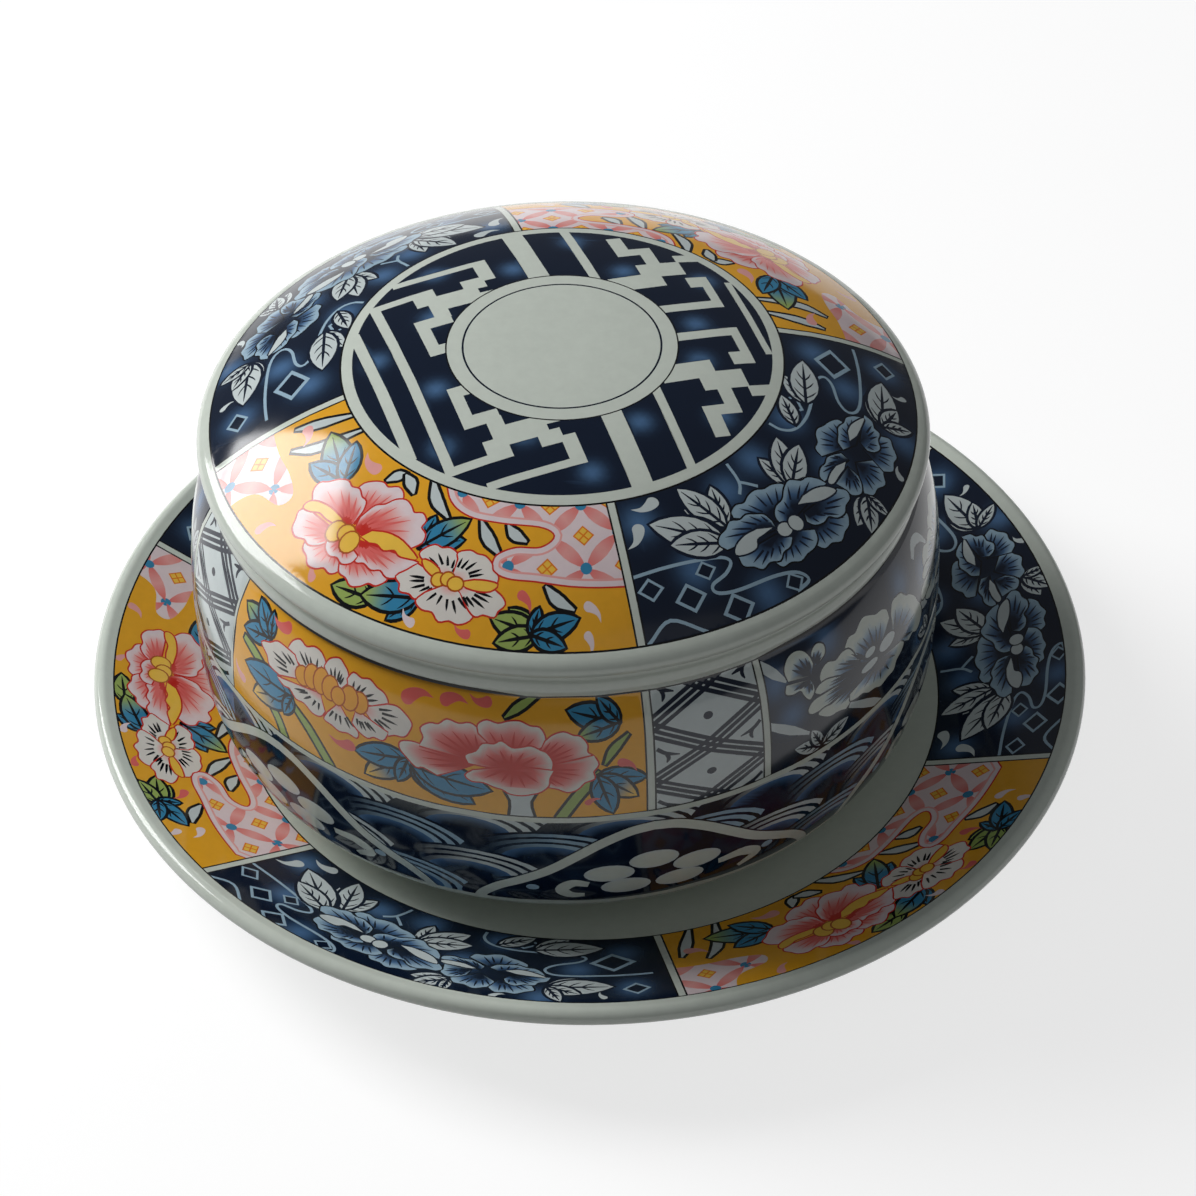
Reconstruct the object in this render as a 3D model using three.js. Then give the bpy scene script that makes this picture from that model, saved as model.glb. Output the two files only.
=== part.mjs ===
// A lidded porcelain soup tureen on its underplate: three bodies of revolution that stack on each other.
// Millimetres, +Z up. The origin is on the table, on the axis of the underplate.
import * as THREE from 'three';

// Facets round each body, and how far a facet may lie from a curved stretch of a profile
const SEGMENTS = 60;
const FACET_SAG = 0.15;

// Fits: the gap left at each resting face, and the free space round the lid's flange
const SEAT_GAP = 0.3;
const FLANGE_CLEARANCE = 0.6;

// The bowl stands a little to one side in the flat well, which leaves it room to move
const BOWL_OFFSET = -4.6;
const WELL_PLAY = 20.8;

// Underplate: the overhang is its reach past the belly, the depth is from its well to the middle of its lip
const PLATE_OVERHANG = 26.9;
const PLATE_DEPTH = 12.2;
const PLATE_FLOOR = 4.2;
const PLATE_FOOT_HEIGHT = 4;
const PLATE_FOOT_WIDTH = 5;
const PLATE_FOOT_INSET = 2.3;
const LIP_RADIUS = 1.8;
const WELL_EASE = 9;

// Bowl: heights are from the bottom of its foot ring, and the collar is the upright band at its mouth
const BOWL_HEIGHT = 70.5;
const BELLY_RADIUS = 75.6;
const BELLY_HEIGHT = 33.5;
const BOWL_WALL = 4;
const BOWL_FLOOR = 5;
const BOWL_FOOT_RADIUS = 46;
const BOWL_FOOT_WIDTH = 5;
const BOWL_FOOT_HEIGHT = 4;
const COLLAR_RADIUS = 70;
const COLLAR_HEIGHT = 5.4;
const COLLAR_BULGE = 1.2;
const RIM_ROUND = 1;

// Fullness of the bowl's curves, as shares of the stretch that each one covers
const BASE_SPREAD = 0.87;
const BASE_LIFT = 0.2;
const FLOOR_LIFT = 0.1;
const SHOULDER_RISE = 0.41;
const SHOULDER_TURN = 0.76;
const SHOULDER_EASE = 0.6;

// Lid: a low dome that ends in a bead, over a flange that drops into the bowl's mouth
const DOME_RISE = 17.2;
const DOME_POWER = 2.9;
const LID_WALL = 4;
const BEAD_HEIGHT = 4.7;
const BEAD_INSET = 0.6;
const BEAD_REACH = 2.6;
const BEAD_SHOULDER = 1.2;
const FLANGE_DEPTH = 6;
const FLANGE_WALL = 3;

// Rounding of the edges of the foot rings and of the flange
const EDGE_ROUND = 0.8;

// Heights and radii that follow from the sizes above
const wellFloor = PLATE_FOOT_HEIGHT + PLATE_FLOOR;
const wellRadius = BOWL_FOOT_RADIUS + WELL_PLAY;
const plateRadius = BELLY_RADIUS + PLATE_OVERHANG;
const bowlBottom = wellFloor + SEAT_GAP;
const bowlRim = bowlBottom + BOWL_HEIGHT;
const mouthRadius = COLLAR_RADIUS - BOWL_WALL;
const lidSeat = bowlRim + SEAT_GAP;
const flangeRadius = mouthRadius - FLANGE_CLEARANCE;
const flangeInside = flangeRadius - FLANGE_WALL;
const domeRadius = COLLAR_RADIUS - BEAD_INSET;
const domeTop = lidSeat + BEAD_HEIGHT + DOME_RISE;

// A stretch of the dome between two radii, at a depth below its outer face
class DomeCurve extends THREE.Curve {
  constructor(fromRadius, toRadius, depth) {
    super();
    this.fromRadius = fromRadius;
    this.toRadius = toRadius;
    this.depth = depth;
  }

  getPoint(share, target = new THREE.Vector2()) {
    const radius = THREE.MathUtils.lerp(this.fromRadius, this.toRadius, share);
    const drop = DOME_RISE * (radius / domeRadius) ** DOME_POWER;
    return target.set(radius, domeTop - drop - this.depth);
  }
}

// The largest distance between a curve and its chords when it is cut into equal steps
function sag(curve, steps) {
  let largest = 0;
  for (let step = 0; step < steps; step += 1) {
    const start = curve.getPoint(step / steps);
    const end = curve.getPoint((step + 1) / steps);
    const middle = curve.getPoint((step + 0.5) / steps);
    largest = Math.max(largest, middle.distanceTo(start.lerp(end, 0.5)));
  }
  return largest;
}

// The points of a profile: each stretch gets as many steps as its curve needs
function facetPoints(profile) {
  const points = [profile.curves[0].getPoint(0)];
  for (const curve of profile.curves) {
    let steps = 1;
    while (sag(curve, steps) > FACET_SAG) steps += 1;
    points.push(...curve.getPoints(steps).slice(1));
  }
  return points;
}

// Turns a profile of radius and height into a closed body round the vertical axis
function revolve(name, profile, color) {
  const geometry = new THREE.LatheGeometry(facetPoints(profile), SEGMENTS);
  geometry.rotateX(Math.PI / 2);
  const glaze = new THREE.MeshStandardMaterial({ color, roughness: 0.12, metalness: 0 });
  const mesh = new THREE.Mesh(geometry, glaze);
  mesh.name = name;
  return mesh;
}

// A ring that points down, drawn from its inner wall to its outer wall, with both edges rounded
function drawRing(profile, innerRadius, outerRadius, bottom) {
  profile.lineTo(innerRadius, bottom + EDGE_ROUND);
  profile.quadraticCurveTo(innerRadius, bottom, innerRadius + EDGE_ROUND, bottom);
  profile.lineTo(outerRadius - EDGE_ROUND, bottom);
  profile.quadraticCurveTo(outerRadius, bottom, outerRadius, bottom + EDGE_ROUND);
}

function underplate() {
  // The rim rises straight from the edge of the well and meets the round lip at a tangent
  const wellEdge = new THREE.Vector2(wellRadius, wellFloor);
  const lip = new THREE.Vector2(plateRadius - LIP_RADIUS, wellFloor + PLATE_DEPTH);
  const toLip = lip.clone().sub(wellEdge);
  const slope = toLip.angle() + Math.asin(LIP_RADIUS / toLip.length());
  const square = slope + Math.PI / 2;
  const along = new THREE.Vector2(Math.cos(slope), Math.sin(slope));
  const across = new THREE.Vector2(Math.cos(square), Math.sin(square));
  const rimStart = wellEdge.clone().addScaledVector(along, WELL_EASE);
  const underStart = rimStart.clone().addScaledVector(across, -2 * LIP_RADIUS);

  const footRadius = wellRadius - PLATE_FOOT_INSET;
  const footInside = footRadius - PLATE_FOOT_WIDTH;
  const profile = new THREE.Path();
  profile.moveTo(0, PLATE_FOOT_HEIGHT);
  profile.lineTo(footInside, PLATE_FOOT_HEIGHT);
  drawRing(profile, footInside, footRadius, 0);
  profile.quadraticCurveTo(footRadius, PLATE_FOOT_HEIGHT, underStart.x, underStart.y);
  profile.absarc(lip.x, lip.y, LIP_RADIUS, square - Math.PI, 0, false);
  profile.absarc(lip.x, lip.y, LIP_RADIUS, 0, square, false);
  profile.lineTo(rimStart.x, rimStart.y);
  profile.quadraticCurveTo(wellEdge.x, wellEdge.y, wellRadius - WELL_EASE, wellFloor);
  profile.lineTo(0, wellFloor);
  return revolve('underplate', profile, 0xd9dcd2);
}

function bowl() {
  const recess = bowlBottom + BOWL_FOOT_HEIGHT;
  const floor = recess + BOWL_FLOOR;
  const belly = bowlBottom + BELLY_HEIGHT;
  const collar = bowlRim - COLLAR_HEIGHT;
  const collarMiddle = bowlRim - COLLAR_HEIGHT / 2;
  const footInside = BOWL_FOOT_RADIUS - BOWL_FOOT_WIDTH;
  const bellyInside = BELLY_RADIUS - BOWL_WALL;
  const spread = THREE.MathUtils.lerp(BOWL_FOOT_RADIUS, BELLY_RADIUS, BASE_SPREAD);
  const lift = THREE.MathUtils.lerp(recess, belly, BASE_LIFT);
  const floorLift = THREE.MathUtils.lerp(floor, belly, FLOOR_LIFT);
  const rise = THREE.MathUtils.lerp(belly, collar, SHOULDER_RISE);
  const turn = THREE.MathUtils.lerp(belly, collar, SHOULDER_TURN);

  const profile = new THREE.Path();
  profile.moveTo(0, recess);
  profile.lineTo(footInside, recess);
  drawRing(profile, footInside, BOWL_FOOT_RADIUS, bowlBottom);
  profile.lineTo(BOWL_FOOT_RADIUS, recess);
  profile.bezierCurveTo(spread, recess, BELLY_RADIUS, lift, BELLY_RADIUS, belly);
  profile.bezierCurveTo(BELLY_RADIUS, rise, BELLY_RADIUS - SHOULDER_EASE, turn, COLLAR_RADIUS, collar);
  profile.quadraticCurveTo(COLLAR_RADIUS + COLLAR_BULGE, collarMiddle, COLLAR_RADIUS, bowlRim - RIM_ROUND);
  profile.quadraticCurveTo(COLLAR_RADIUS, bowlRim, COLLAR_RADIUS - RIM_ROUND, bowlRim);
  profile.lineTo(mouthRadius + RIM_ROUND, bowlRim);
  profile.quadraticCurveTo(mouthRadius, bowlRim, mouthRadius, bowlRim - RIM_ROUND);
  profile.lineTo(mouthRadius, collar);
  profile.bezierCurveTo(bellyInside - SHOULDER_EASE, turn, bellyInside, rise, bellyInside, belly);
  profile.bezierCurveTo(bellyInside, floorLift, spread, floor, BOWL_FOOT_RADIUS, floor);
  profile.lineTo(0, floor);
  return revolve('bowl', profile, 0xdfe2d8);
}

function lid() {
  const beadFoot = COLLAR_RADIUS + BEAD_INSET;
  const beadEdge = COLLAR_RADIUS + BEAD_REACH;
  const beadTop = lidSeat + BEAD_HEIGHT;

  const profile = new THREE.Path();
  profile.add(new DomeCurve(0, flangeInside, LID_WALL));
  profile.currentPoint.copy(profile.curves[0].getPoint(1));
  drawRing(profile, flangeInside, flangeRadius, lidSeat - FLANGE_DEPTH);
  profile.lineTo(flangeRadius, lidSeat);
  profile.lineTo(beadFoot, lidSeat);
  profile.bezierCurveTo(
    beadEdge, lidSeat + BEAD_SHOULDER,
    beadEdge, beadTop - BEAD_SHOULDER,
    domeRadius, beadTop,
  );
  profile.add(new DomeCurve(domeRadius, 0, 0));
  return revolve('lid', profile, 0xe3e6dc);
}

const tureen = new THREE.Group();
tureen.add(underplate());

// The bowl and its lid share one axis, beside that of the underplate
const stack = new THREE.Group();
stack.position.x = BOWL_OFFSET;
stack.add(bowl(), lid());
tureen.add(stack);

export default tureen;
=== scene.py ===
"""A lidded porcelain soup tureen on its underplate, painted with peonies, key fret, lattice and waves."""
from collections import namedtuple
import math

import bpy
import numpy as np
from mathutils import Matrix, Vector
from mathutils.geometry import delaunay_2d_cdt


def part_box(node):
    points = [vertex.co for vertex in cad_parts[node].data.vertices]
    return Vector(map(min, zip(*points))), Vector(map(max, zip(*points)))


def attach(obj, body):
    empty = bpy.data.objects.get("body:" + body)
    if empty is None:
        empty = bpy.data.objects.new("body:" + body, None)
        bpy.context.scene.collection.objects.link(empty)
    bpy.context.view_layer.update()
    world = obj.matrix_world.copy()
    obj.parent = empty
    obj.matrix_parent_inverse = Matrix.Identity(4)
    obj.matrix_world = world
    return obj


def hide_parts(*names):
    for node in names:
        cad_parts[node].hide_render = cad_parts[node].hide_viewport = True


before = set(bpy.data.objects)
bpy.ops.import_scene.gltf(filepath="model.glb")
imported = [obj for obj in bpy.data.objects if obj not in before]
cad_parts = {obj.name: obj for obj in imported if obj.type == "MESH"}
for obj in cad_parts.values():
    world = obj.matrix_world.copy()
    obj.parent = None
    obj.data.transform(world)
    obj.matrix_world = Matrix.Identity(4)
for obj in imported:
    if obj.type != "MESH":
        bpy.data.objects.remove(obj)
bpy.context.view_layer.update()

# Lengths in this script are millimetres, and meshes are made in metres
METRE = 1000.0
FULL_TURN = 2 * math.pi


def box_of(node):
    """The lowest and highest corner of a CAD node in millimetres."""
    low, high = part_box(node)
    return np.array(low) * METRE, np.array(high) * METRE


# Main sizes, read from the frame
plate_low, plate_high = box_of("underplate")
bowl_low, bowl_high = box_of("bowl")
lid_low, lid_high = box_of("lid")
PLATE_RADIUS = (plate_high[0] - plate_low[0]) / 2
PLATE_BOTTOM = plate_low[2]
BELLY_RADIUS = (bowl_high[0] - bowl_low[0]) / 2
BOWL_AXIS = (bowl_high[0] + bowl_low[0]) / 2
BOWL_BOTTOM = bowl_low[2]
BOWL_RIM = bowl_high[2]
FLANGE_BOTTOM = lid_low[2]
LID_TOP = lid_high[2]

# Underplate
SEAT_GAP = 0.3
WELL_FLOOR = BOWL_BOTTOM - SEAT_GAP
WELL_RADIUS = 66.8
WELL_EASE = 9.0
PLATE_DEPTH = 12.2
PLATE_RECESS = 4.0
PLATE_RECESS_RING = 30.0
WELL_RING = 28.0
PLATE_FOOT = (59.5, 64.5)
LIP_RADIUS = 1.8

# Bowl
BOWL_FOOT = (41.0, 46.0)
BOWL_RECESS = BOWL_BOTTOM + 4.0
BOWL_FLOOR = BOWL_RECESS + 5.0
BOWL_FLOOR_RING = 23.0
BOWL_RECESS_RING = 20.0
BOWL_WALL = 4.0
BELLY = BOWL_BOTTOM + 33.5
COLLAR_RADIUS = 70.0
COLLAR = BOWL_RIM - 5.4
COLLAR_MIDDLE = BOWL_RIM - 2.7
COLLAR_BULGE = 1.2
RIM_ROUND = 1.0
BASE_SPREAD = 0.87
BASE_LIFT = 0.2
FLOOR_LIFT = 0.1
SHOULDER_RISE = 0.41
SHOULDER_TURN = 0.76
SHOULDER_EASE = 0.6

# Lid
LID_SEAT = BOWL_RIM + SEAT_GAP
FLANGE = (62.4, 65.4)
DOME_RADIUS = 69.4
DOME_POWER = 2.9
LID_WALL = 4.0
BEAD_TOP = LID_SEAT + 4.7
BEAD_FOOT_RADIUS = 70.6
BEAD_REACH = 72.6
BEAD_SHOULDER = 1.2
DOME_RISE = LID_TOP - BEAD_TOP
EDGE_ROUND = 0.8

# Mesh fineness: sides of each turned ring, steps of each curve, the distance that walls keep from the edge of
# the paint, and the spacing of points under the paint
RING_SIDES = 180
CURVE_STEPS = 14
FACE_STEPS = 60
DOME_STEPS = 120
BEAD_STEPS = 40
COLLAR_STEPS = 16
EASE_STEPS = 24
LIP_STEPS = 22
INSIDE_STEPS = 20
UNDER_STEPS = 10
RIM_STEPS = 6
EDGE_STEPS = 5
EDGE_MARGIN = 0.1
GRID_STEP = 1.35
CUT_TOLERANCE = 3e-4
SEAM_REACH = 0.01
CRISP = 0.15
FLAT = 0.01
CRISP_BEND = math.radians(25)

# Shares of the bake's map: the painted face, and the plain walls below it
TOP_MAP = (0.08, 0.995)
MAP_MARGIN = 0.01
MAP_ACROSS = 2.01
WALL_MAPS = ((0.005, 0.035), (0.04, 0.07))


def ink(red, green, blue):
    """A linear colour from its sRGB shares."""
    shares = np.array((red, green, blue))
    return tuple(np.where(shares <= 0.04045, shares / 12.92, ((shares + 0.055) / 1.055) ** 2.4))


# Colours of the glaze, the underglaze blue and the enamels
GLAZE = ink(0.83, 0.86, 0.82)
MILK = ink(0.90, 0.88, 0.85)
NAVY = ink(0.06, 0.11, 0.19)
DEEP = ink(0.03, 0.05, 0.09)
COBALT = ink(0.30, 0.44, 0.60)
SKY = ink(0.62, 0.73, 0.80)
PALE = ink(0.80, 0.84, 0.84)
YELLOW = ink(0.94, 0.68, 0.17)
GOLD = ink(0.97, 0.78, 0.30)
ORANGE = ink(0.92, 0.50, 0.13)
AMBER = ink(0.93, 0.65, 0.20)
RUST = ink(0.70, 0.32, 0.10)
RED = ink(0.80, 0.18, 0.14)
ROSE = ink(0.90, 0.42, 0.40)
PINK = ink(0.93, 0.66, 0.64)
BLUSH = ink(0.92, 0.85, 0.86)
LEAF_BLUE = ink(0.22, 0.54, 0.70)
LEAF_GREEN = ink(0.62, 0.71, 0.38)
BLACK = ink(0.05, 0.055, 0.07)

# Leaves: the colours at their base and at their tip
BLUE_LEAF = (LEAF_BLUE, LEAF_BLUE)
GREEN_LEAF = (LEAF_GREEN, LEAF_GREEN)
GREEN_TIP = (LEAF_BLUE, LEAF_GREEN)
GOLD_TIP = (LEAF_BLUE, GOLD)
WHITE_LEAF = (PALE, PALE)

# Thin lines, and how petals are painted: their colours from the base to the edge, the line round them, and
# streaks between shares of the way to the edge
LINE = 0.33
BOLD = 0.62
STREAK_MARKS = (0.2, 0.35, 0.5, 0.65, 0.8)
Style = namedtuple("Style", "stops line streak span width")
PINK_STYLE = Style(
    ((0.2, RED), (0.45, ROSE), (0.68, PINK), (0.86, BLUSH)),
    RED, ROSE, (0.25, 0.5, 0.8), 0.5,
)
RED_STYLE = Style(
    ((0.36, RED), (0.66, ROSE), (0.82, PINK), (0.94, MILK)),
    RED, RED, (0.3, 0.5, 0.76), 0.5,
)
WHITE_STYLE = Style(
    ((0.1, PINK), (0.35, MILK)),
    RED, BLACK, (0.42, 0.6, 0.76), 0.5,
)
BLUE_STYLE = Style(
    ((0.4, NAVY), (0.66, COBALT), (0.88, SKY)),
    DEEP, NAVY, (0.5, 0.7, 0.9), 0.4,
)
SNOW_STYLE = Style(
    ((0.34, NAVY), (0.54, COBALT), (0.66, SKY), (0.77, GLAZE)),
    NAVY, NAVY, (0.3, 0.5, 0.74), 0.6,
)
GOLD_STYLE = Style(((0, GOLD), (1, GOLD)), RED, None, None, None)
PALE_STYLE = Style(((0, PALE), (1, PALE)), NAVY, None, None, None)

# Flowers of the ring panels: each petal is its base and then its edge, as length along the panel and
# distance out
PINK_PEONY = (
    ((32.2, 13.5), (27.2, 9.2), (27.3, 6.8), (29.2, 5.2), (31.0, 4.6), (32.6, 4.9), (34.6, 3.9),
     (36.6, 4.5), (37.6, 6.4), (36.0, 9.0)),
    ((33.0, 14.8), (32.3, 12.0), (33.2, 9.0), (34.9, 7.9), (36.2, 6.2), (38.2, 5.4), (40.2, 6.0),
     (41.6, 6.9), (43.4, 6.4), (44.9, 7.4), (44.7, 8.9), (46.2, 9.8), (46.4, 11.4), (45.0, 12.9)),
    ((31.8, 14.9), (21.2, 14.6), (19.7, 13.4), (19.3, 11.8), (20.6, 10.7), (22.0, 9.1), (23.8, 8.2),
     (25.6, 8.6), (27.4, 8.1), (29.2, 9.0), (30.7, 9.2), (31.6, 10.8), (31.7, 12.8)),
    ((31.6, 17.2), (26.2, 20.2), (26.9, 21.6), (28.4, 22.2), (29.6, 23.2), (31.2, 23.0), (32.4, 22.2),
     (33.9, 22.5), (35.0, 21.6), (35.3, 19.8)),
    ((34.6, 17.0), (34.4, 20.2), (35.4, 21.6), (36.9, 21.8), (38.4, 22.6), (39.9, 22.0), (41.0, 21.0),
     (42.4, 20.9), (43.6, 19.6), (43.4, 18.4)),
    ((31.0, 16.6), (21.6, 16.4), (20.9, 17.6), (21.7, 18.9), (22.4, 20.2), (24.0, 20.9), (25.8, 20.3),
     (27.2, 20.6), (28.8, 19.8), (29.8, 18.6)),
    ((34.6, 15.8), (47.7, 15.0), (47.0, 16.4), (45.6, 17.1), (45.1, 18.4), (43.4, 19.0), (41.8, 18.3),
     (40.2, 18.9), (38.4, 18.4), (37.0, 18.9), (35.6, 17.8)),
    ((32.4, 16.6), (29.6, 18.0), (30.4, 19.4), (31.9, 20.1), (33.4, 19.7), (34.8, 20.2), (36.2, 19.4),
     (36.6, 18.0)),
)
PINK_TONGUES = (
    ((35.0, 14.8), (36.2, 13.1), (39.2, 12.2), (42.8, 12.4), (47.0, 14.3), (45.2, 14.8), (43.6, 14.9),
     (42.2, 14.3), (40.4, 15.1), (38.6, 14.6), (37.0, 15.0)),
    ((30.6, 14.8), (29.0, 14.0), (25.6, 13.7), (22.4, 14.3), (20.9, 15.4), (21.0, 16.6), (22.8, 16.2),
     (24.4, 15.4), (26.6, 15.5), (28.8, 15.3)),
)
PINK_BUDS = ((29.9, 16.3, 1.8, 1.9), (32.0, 15.6, 1.7, 1.5), (33.6, 16.6, 1.8, 1.9))
WHITE_FLOWER = (
    ((54.0, 16.2), (48.6, 14.3), (47.2, 13.4), (47.7, 12.2), (49.2, 11.1), (50.8, 11.3), (52.2, 10.9),
     (53.9, 11.5), (54.4, 12.7), (55.6, 13.4), (55.4, 14.8)),
    ((54.6, 16.2), (54.6, 12.4), (54.2, 11.3), (56.2, 10.5), (57.8, 10.9), (59.4, 11.0), (60.9, 12.1),
     (61.4, 13.3), (62.6, 14.2), (62.6, 15.6)),
    ((53.2, 16.8), (47.6, 15.2), (46.3, 16.8), (45.0, 18.3), (46.2, 19.2), (46.7, 20.3), (48.4, 20.2),
     (49.6, 20.7), (51.0, 19.8), (52.0, 18.8)),
    ((54.4, 17.0), (51.0, 19.4), (50.0, 21.0), (51.4, 22.0), (53.2, 22.0), (54.6, 23.2), (56.2, 22.7),
     (57.8, 23.0), (59.4, 22.1), (59.8, 20.6), (58.4, 19.0)),
    ((55.6, 16.8), (62.4, 16.6), (63.9, 17.6), (64.6, 18.8), (63.6, 20.0), (63.2, 21.0), (61.4, 20.8),
     (60.2, 21.3), (58.9, 20.4), (57.6, 18.8)),
)
WHITE_TONGUES = (
    ((53.0, 16.4), (51.6, 14.9), (49.8, 14.2), (48.2, 14.2), (49.2, 15.4), (50.8, 16.2)),
    ((56.0, 16.4), (58.6, 15.5), (60.6, 15.3), (62.8, 15.6), (61.8, 16.8), (59.6, 17.1), (57.6, 16.9)),
)
WHITE_BUDS = ((52.3, 16.7, 1.2, 1.1), (53.9, 16.2, 1.2, 1.1), (55.5, 16.7, 1.4, 1.1))
WIDE_PEONY = (
    ((32.0, 14.8), (24.2, 10.0), (24.6, 8.9), (26.4, 8.2), (28.2, 8.6), (30.0, 7.9), (32.2, 7.7),
     (34.2, 8.5), (36.2, 8.7), (38.2, 9.7), (38.4, 11.0)),
    ((34.6, 15.6), (31.6, 14.9), (31.8, 13.4), (33.4, 12.2), (35.6, 11.9), (37.8, 10.6), (40.2, 10.1),
     (42.0, 11.6), (43.8, 12.0), (45.2, 13.6), (45.6, 15.0)),
    ((30.2, 15.4), (19.4, 14.6), (18.5, 13.2), (19.6, 11.9), (21.4, 11.3), (23.0, 10.3), (25.0, 10.9),
     (26.8, 10.6), (28.6, 11.4), (30.0, 12.2), (30.4, 13.8)),
    ((37.2, 17.4), (34.4, 21.2), (35.4, 22.5), (37.2, 22.5), (38.8, 23.3), (40.6, 22.6), (42.2, 22.3),
     (43.6, 21.0), (43.4, 19.6)),
    ((31.4, 16.8), (26.0, 20.0), (26.8, 21.2), (28.6, 21.2), (30.2, 21.9), (32.0, 21.5), (33.8, 21.4),
     (35.4, 20.6), (36.2, 19.2)),
    ((37.0, 16.0), (36.2, 17.4), (37.0, 18.6), (38.8, 19.2), (40.4, 19.0), (41.6, 20.2), (43.4, 20.5),
     (44.8, 19.8), (46.6, 19.6), (47.4, 18.4), (46.4, 17.0)),
    ((29.4, 16.2), (20.6, 16.6), (20.6, 18.2), (22.2, 19.0), (23.4, 20.0), (25.2, 19.5), (27.0, 20.1),
     (28.4, 19.2), (30.2, 19.0), (31.6, 18.0)),
)
WIDE_TONGUES = (
    ((29.6, 14.8), (26.8, 13.7), (24.0, 13.7), (21.4, 14.6), (20.4, 16.0), (22.4, 16.6), (24.6, 16.4),
     (25.6, 15.2), (27.4, 15.0)),
    ((37.4, 14.2), (39.6, 13.7), (42.4, 14.1), (44.8, 15.2), (45.9, 17.0), (43.4, 16.8), (41.0, 16.0),
     (39.0, 14.9)),
)
WIDE_BUDS = ((31.5, 16.2, 1.6, 1.2), (34.2, 16.4, 1.5, 1.4))
SLIM_PEONY = (
    ((57.0, 15.0), (50.6, 11.6), (51.4, 10.0), (53.2, 9.8), (54.8, 8.9), (56.6, 8.6), (58.4, 9.4),
     (60.2, 10.0), (62.0, 11.2), (62.0, 12.6)),
    ((58.4, 15.8), (55.4, 14.2), (56.4, 12.9), (58.2, 12.4), (60.2, 11.9), (62.2, 12.6), (63.8, 12.7),
     (65.2, 13.9), (66.0, 15.4)),
    ((54.0, 15.8), (45.8, 14.6), (46.0, 13.5), (47.8, 12.7), (49.4, 12.9), (51.2, 12.6), (52.8, 13.3),
     (54.2, 14.2)),
    ((54.4, 17.2), (49.8, 21.0), (50.8, 22.4), (52.6, 22.4), (54.4, 23.2), (56.0, 22.2), (57.6, 21.4),
     (57.4, 19.6)),
    ((58.4, 17.4), (56.8, 22.0), (58.2, 23.4), (60.0, 23.0), (61.6, 23.2), (63.2, 22.0), (64.6, 21.2),
     (64.0, 19.6)),
    ((52.4, 16.4), (47.2, 16.4), (47.6, 18.2), (47.6, 19.6), (49.2, 20.6), (50.8, 19.9), (52.0, 18.6)),
    ((59.6, 16.4), (67.0, 15.8), (66.4, 17.4), (65.0, 18.0), (64.4, 19.2), (62.6, 19.2), (61.0, 20.0),
     (59.4, 19.2), (58.8, 18.0)),
)
SLIM_TONGUES = (
    ((53.0, 15.6), (50.6, 14.6), (48.2, 14.6), (46.2, 15.2), (46.8, 16.0), (49.2, 15.9), (51.2, 16.0)),
    ((58.4, 14.6), (60.6, 13.7), (63.0, 14.0), (66.2, 15.8), (63.6, 15.7), (60.6, 15.4)),
)

# Flowers of the bowl's panels, as length along the panel and height
BAND_WHITE_FLOWER = (
    ((26.0, 17.6), (17.6, 20.6), (18.4, 22.4), (20.0, 23.4), (22.0, 22.9), (23.8, 23.7), (25.8, 23.5),
     (27.4, 22.2), (28.0, 20.6)),
    ((30.8, 17.6), (27.4, 21.6), (28.2, 23.2), (30.2, 24.1), (31.6, 23.5), (32.8, 22.6), (33.6, 21.0)),
    ((34.6, 17.6), (33.2, 21.4), (34.2, 22.9), (36.2, 22.5), (38.0, 22.9), (39.8, 22.0), (41.6, 21.4),
     (42.6, 20.0), (41.8, 18.8)),
    ((23.0, 16.8), (16.4, 14.2), (13.4, 14.6), (12.4, 16.2), (10.2, 17.8), (12.6, 19.0), (14.4, 20.3),
     (16.8, 20.4), (19.6, 20.2)),
    ((37.4, 17.2), (42.6, 19.6), (44.6, 19.8), (46.4, 18.9), (47.9, 17.4), (47.6, 15.8), (46.6, 14.2),
     (44.6, 13.9), (42.8, 13.2), (40.6, 14.4)),
    ((36.0, 16.2), (43.2, 13.8), (42.2, 11.8), (40.2, 11.8), (38.8, 11.0), (36.8, 11.8), (35.4, 13.0)),
    ((27.4, 15.8), (15.8, 13.4), (18.0, 12.6), (19.6, 12.9), (21.4, 11.5), (23.6, 11.7), (25.8, 10.6),
     (27.8, 10.9), (28.8, 12.4)),
    ((32.0, 15.8), (29.6, 12.6), (28.8, 10.7), (30.6, 10.3), (32.4, 9.7), (34.4, 10.2), (36.4, 9.9),
     (36.6, 11.4), (34.6, 12.8)),
)
BAND_WHITE_BUDS = (
    (22.6, 17.3, 1.9, 1.9), (24.8, 18.2, 1.8, 2.4), (36.6, 17.8, 1.8, 2.1), (27.2, 18.4, 1.8, 2.6),
    (29.6, 18.0, 1.9, 2.4), (34.2, 17.8, 1.9, 2.4), (31.6, 17.2, 1.5, 1.8),
)
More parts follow.
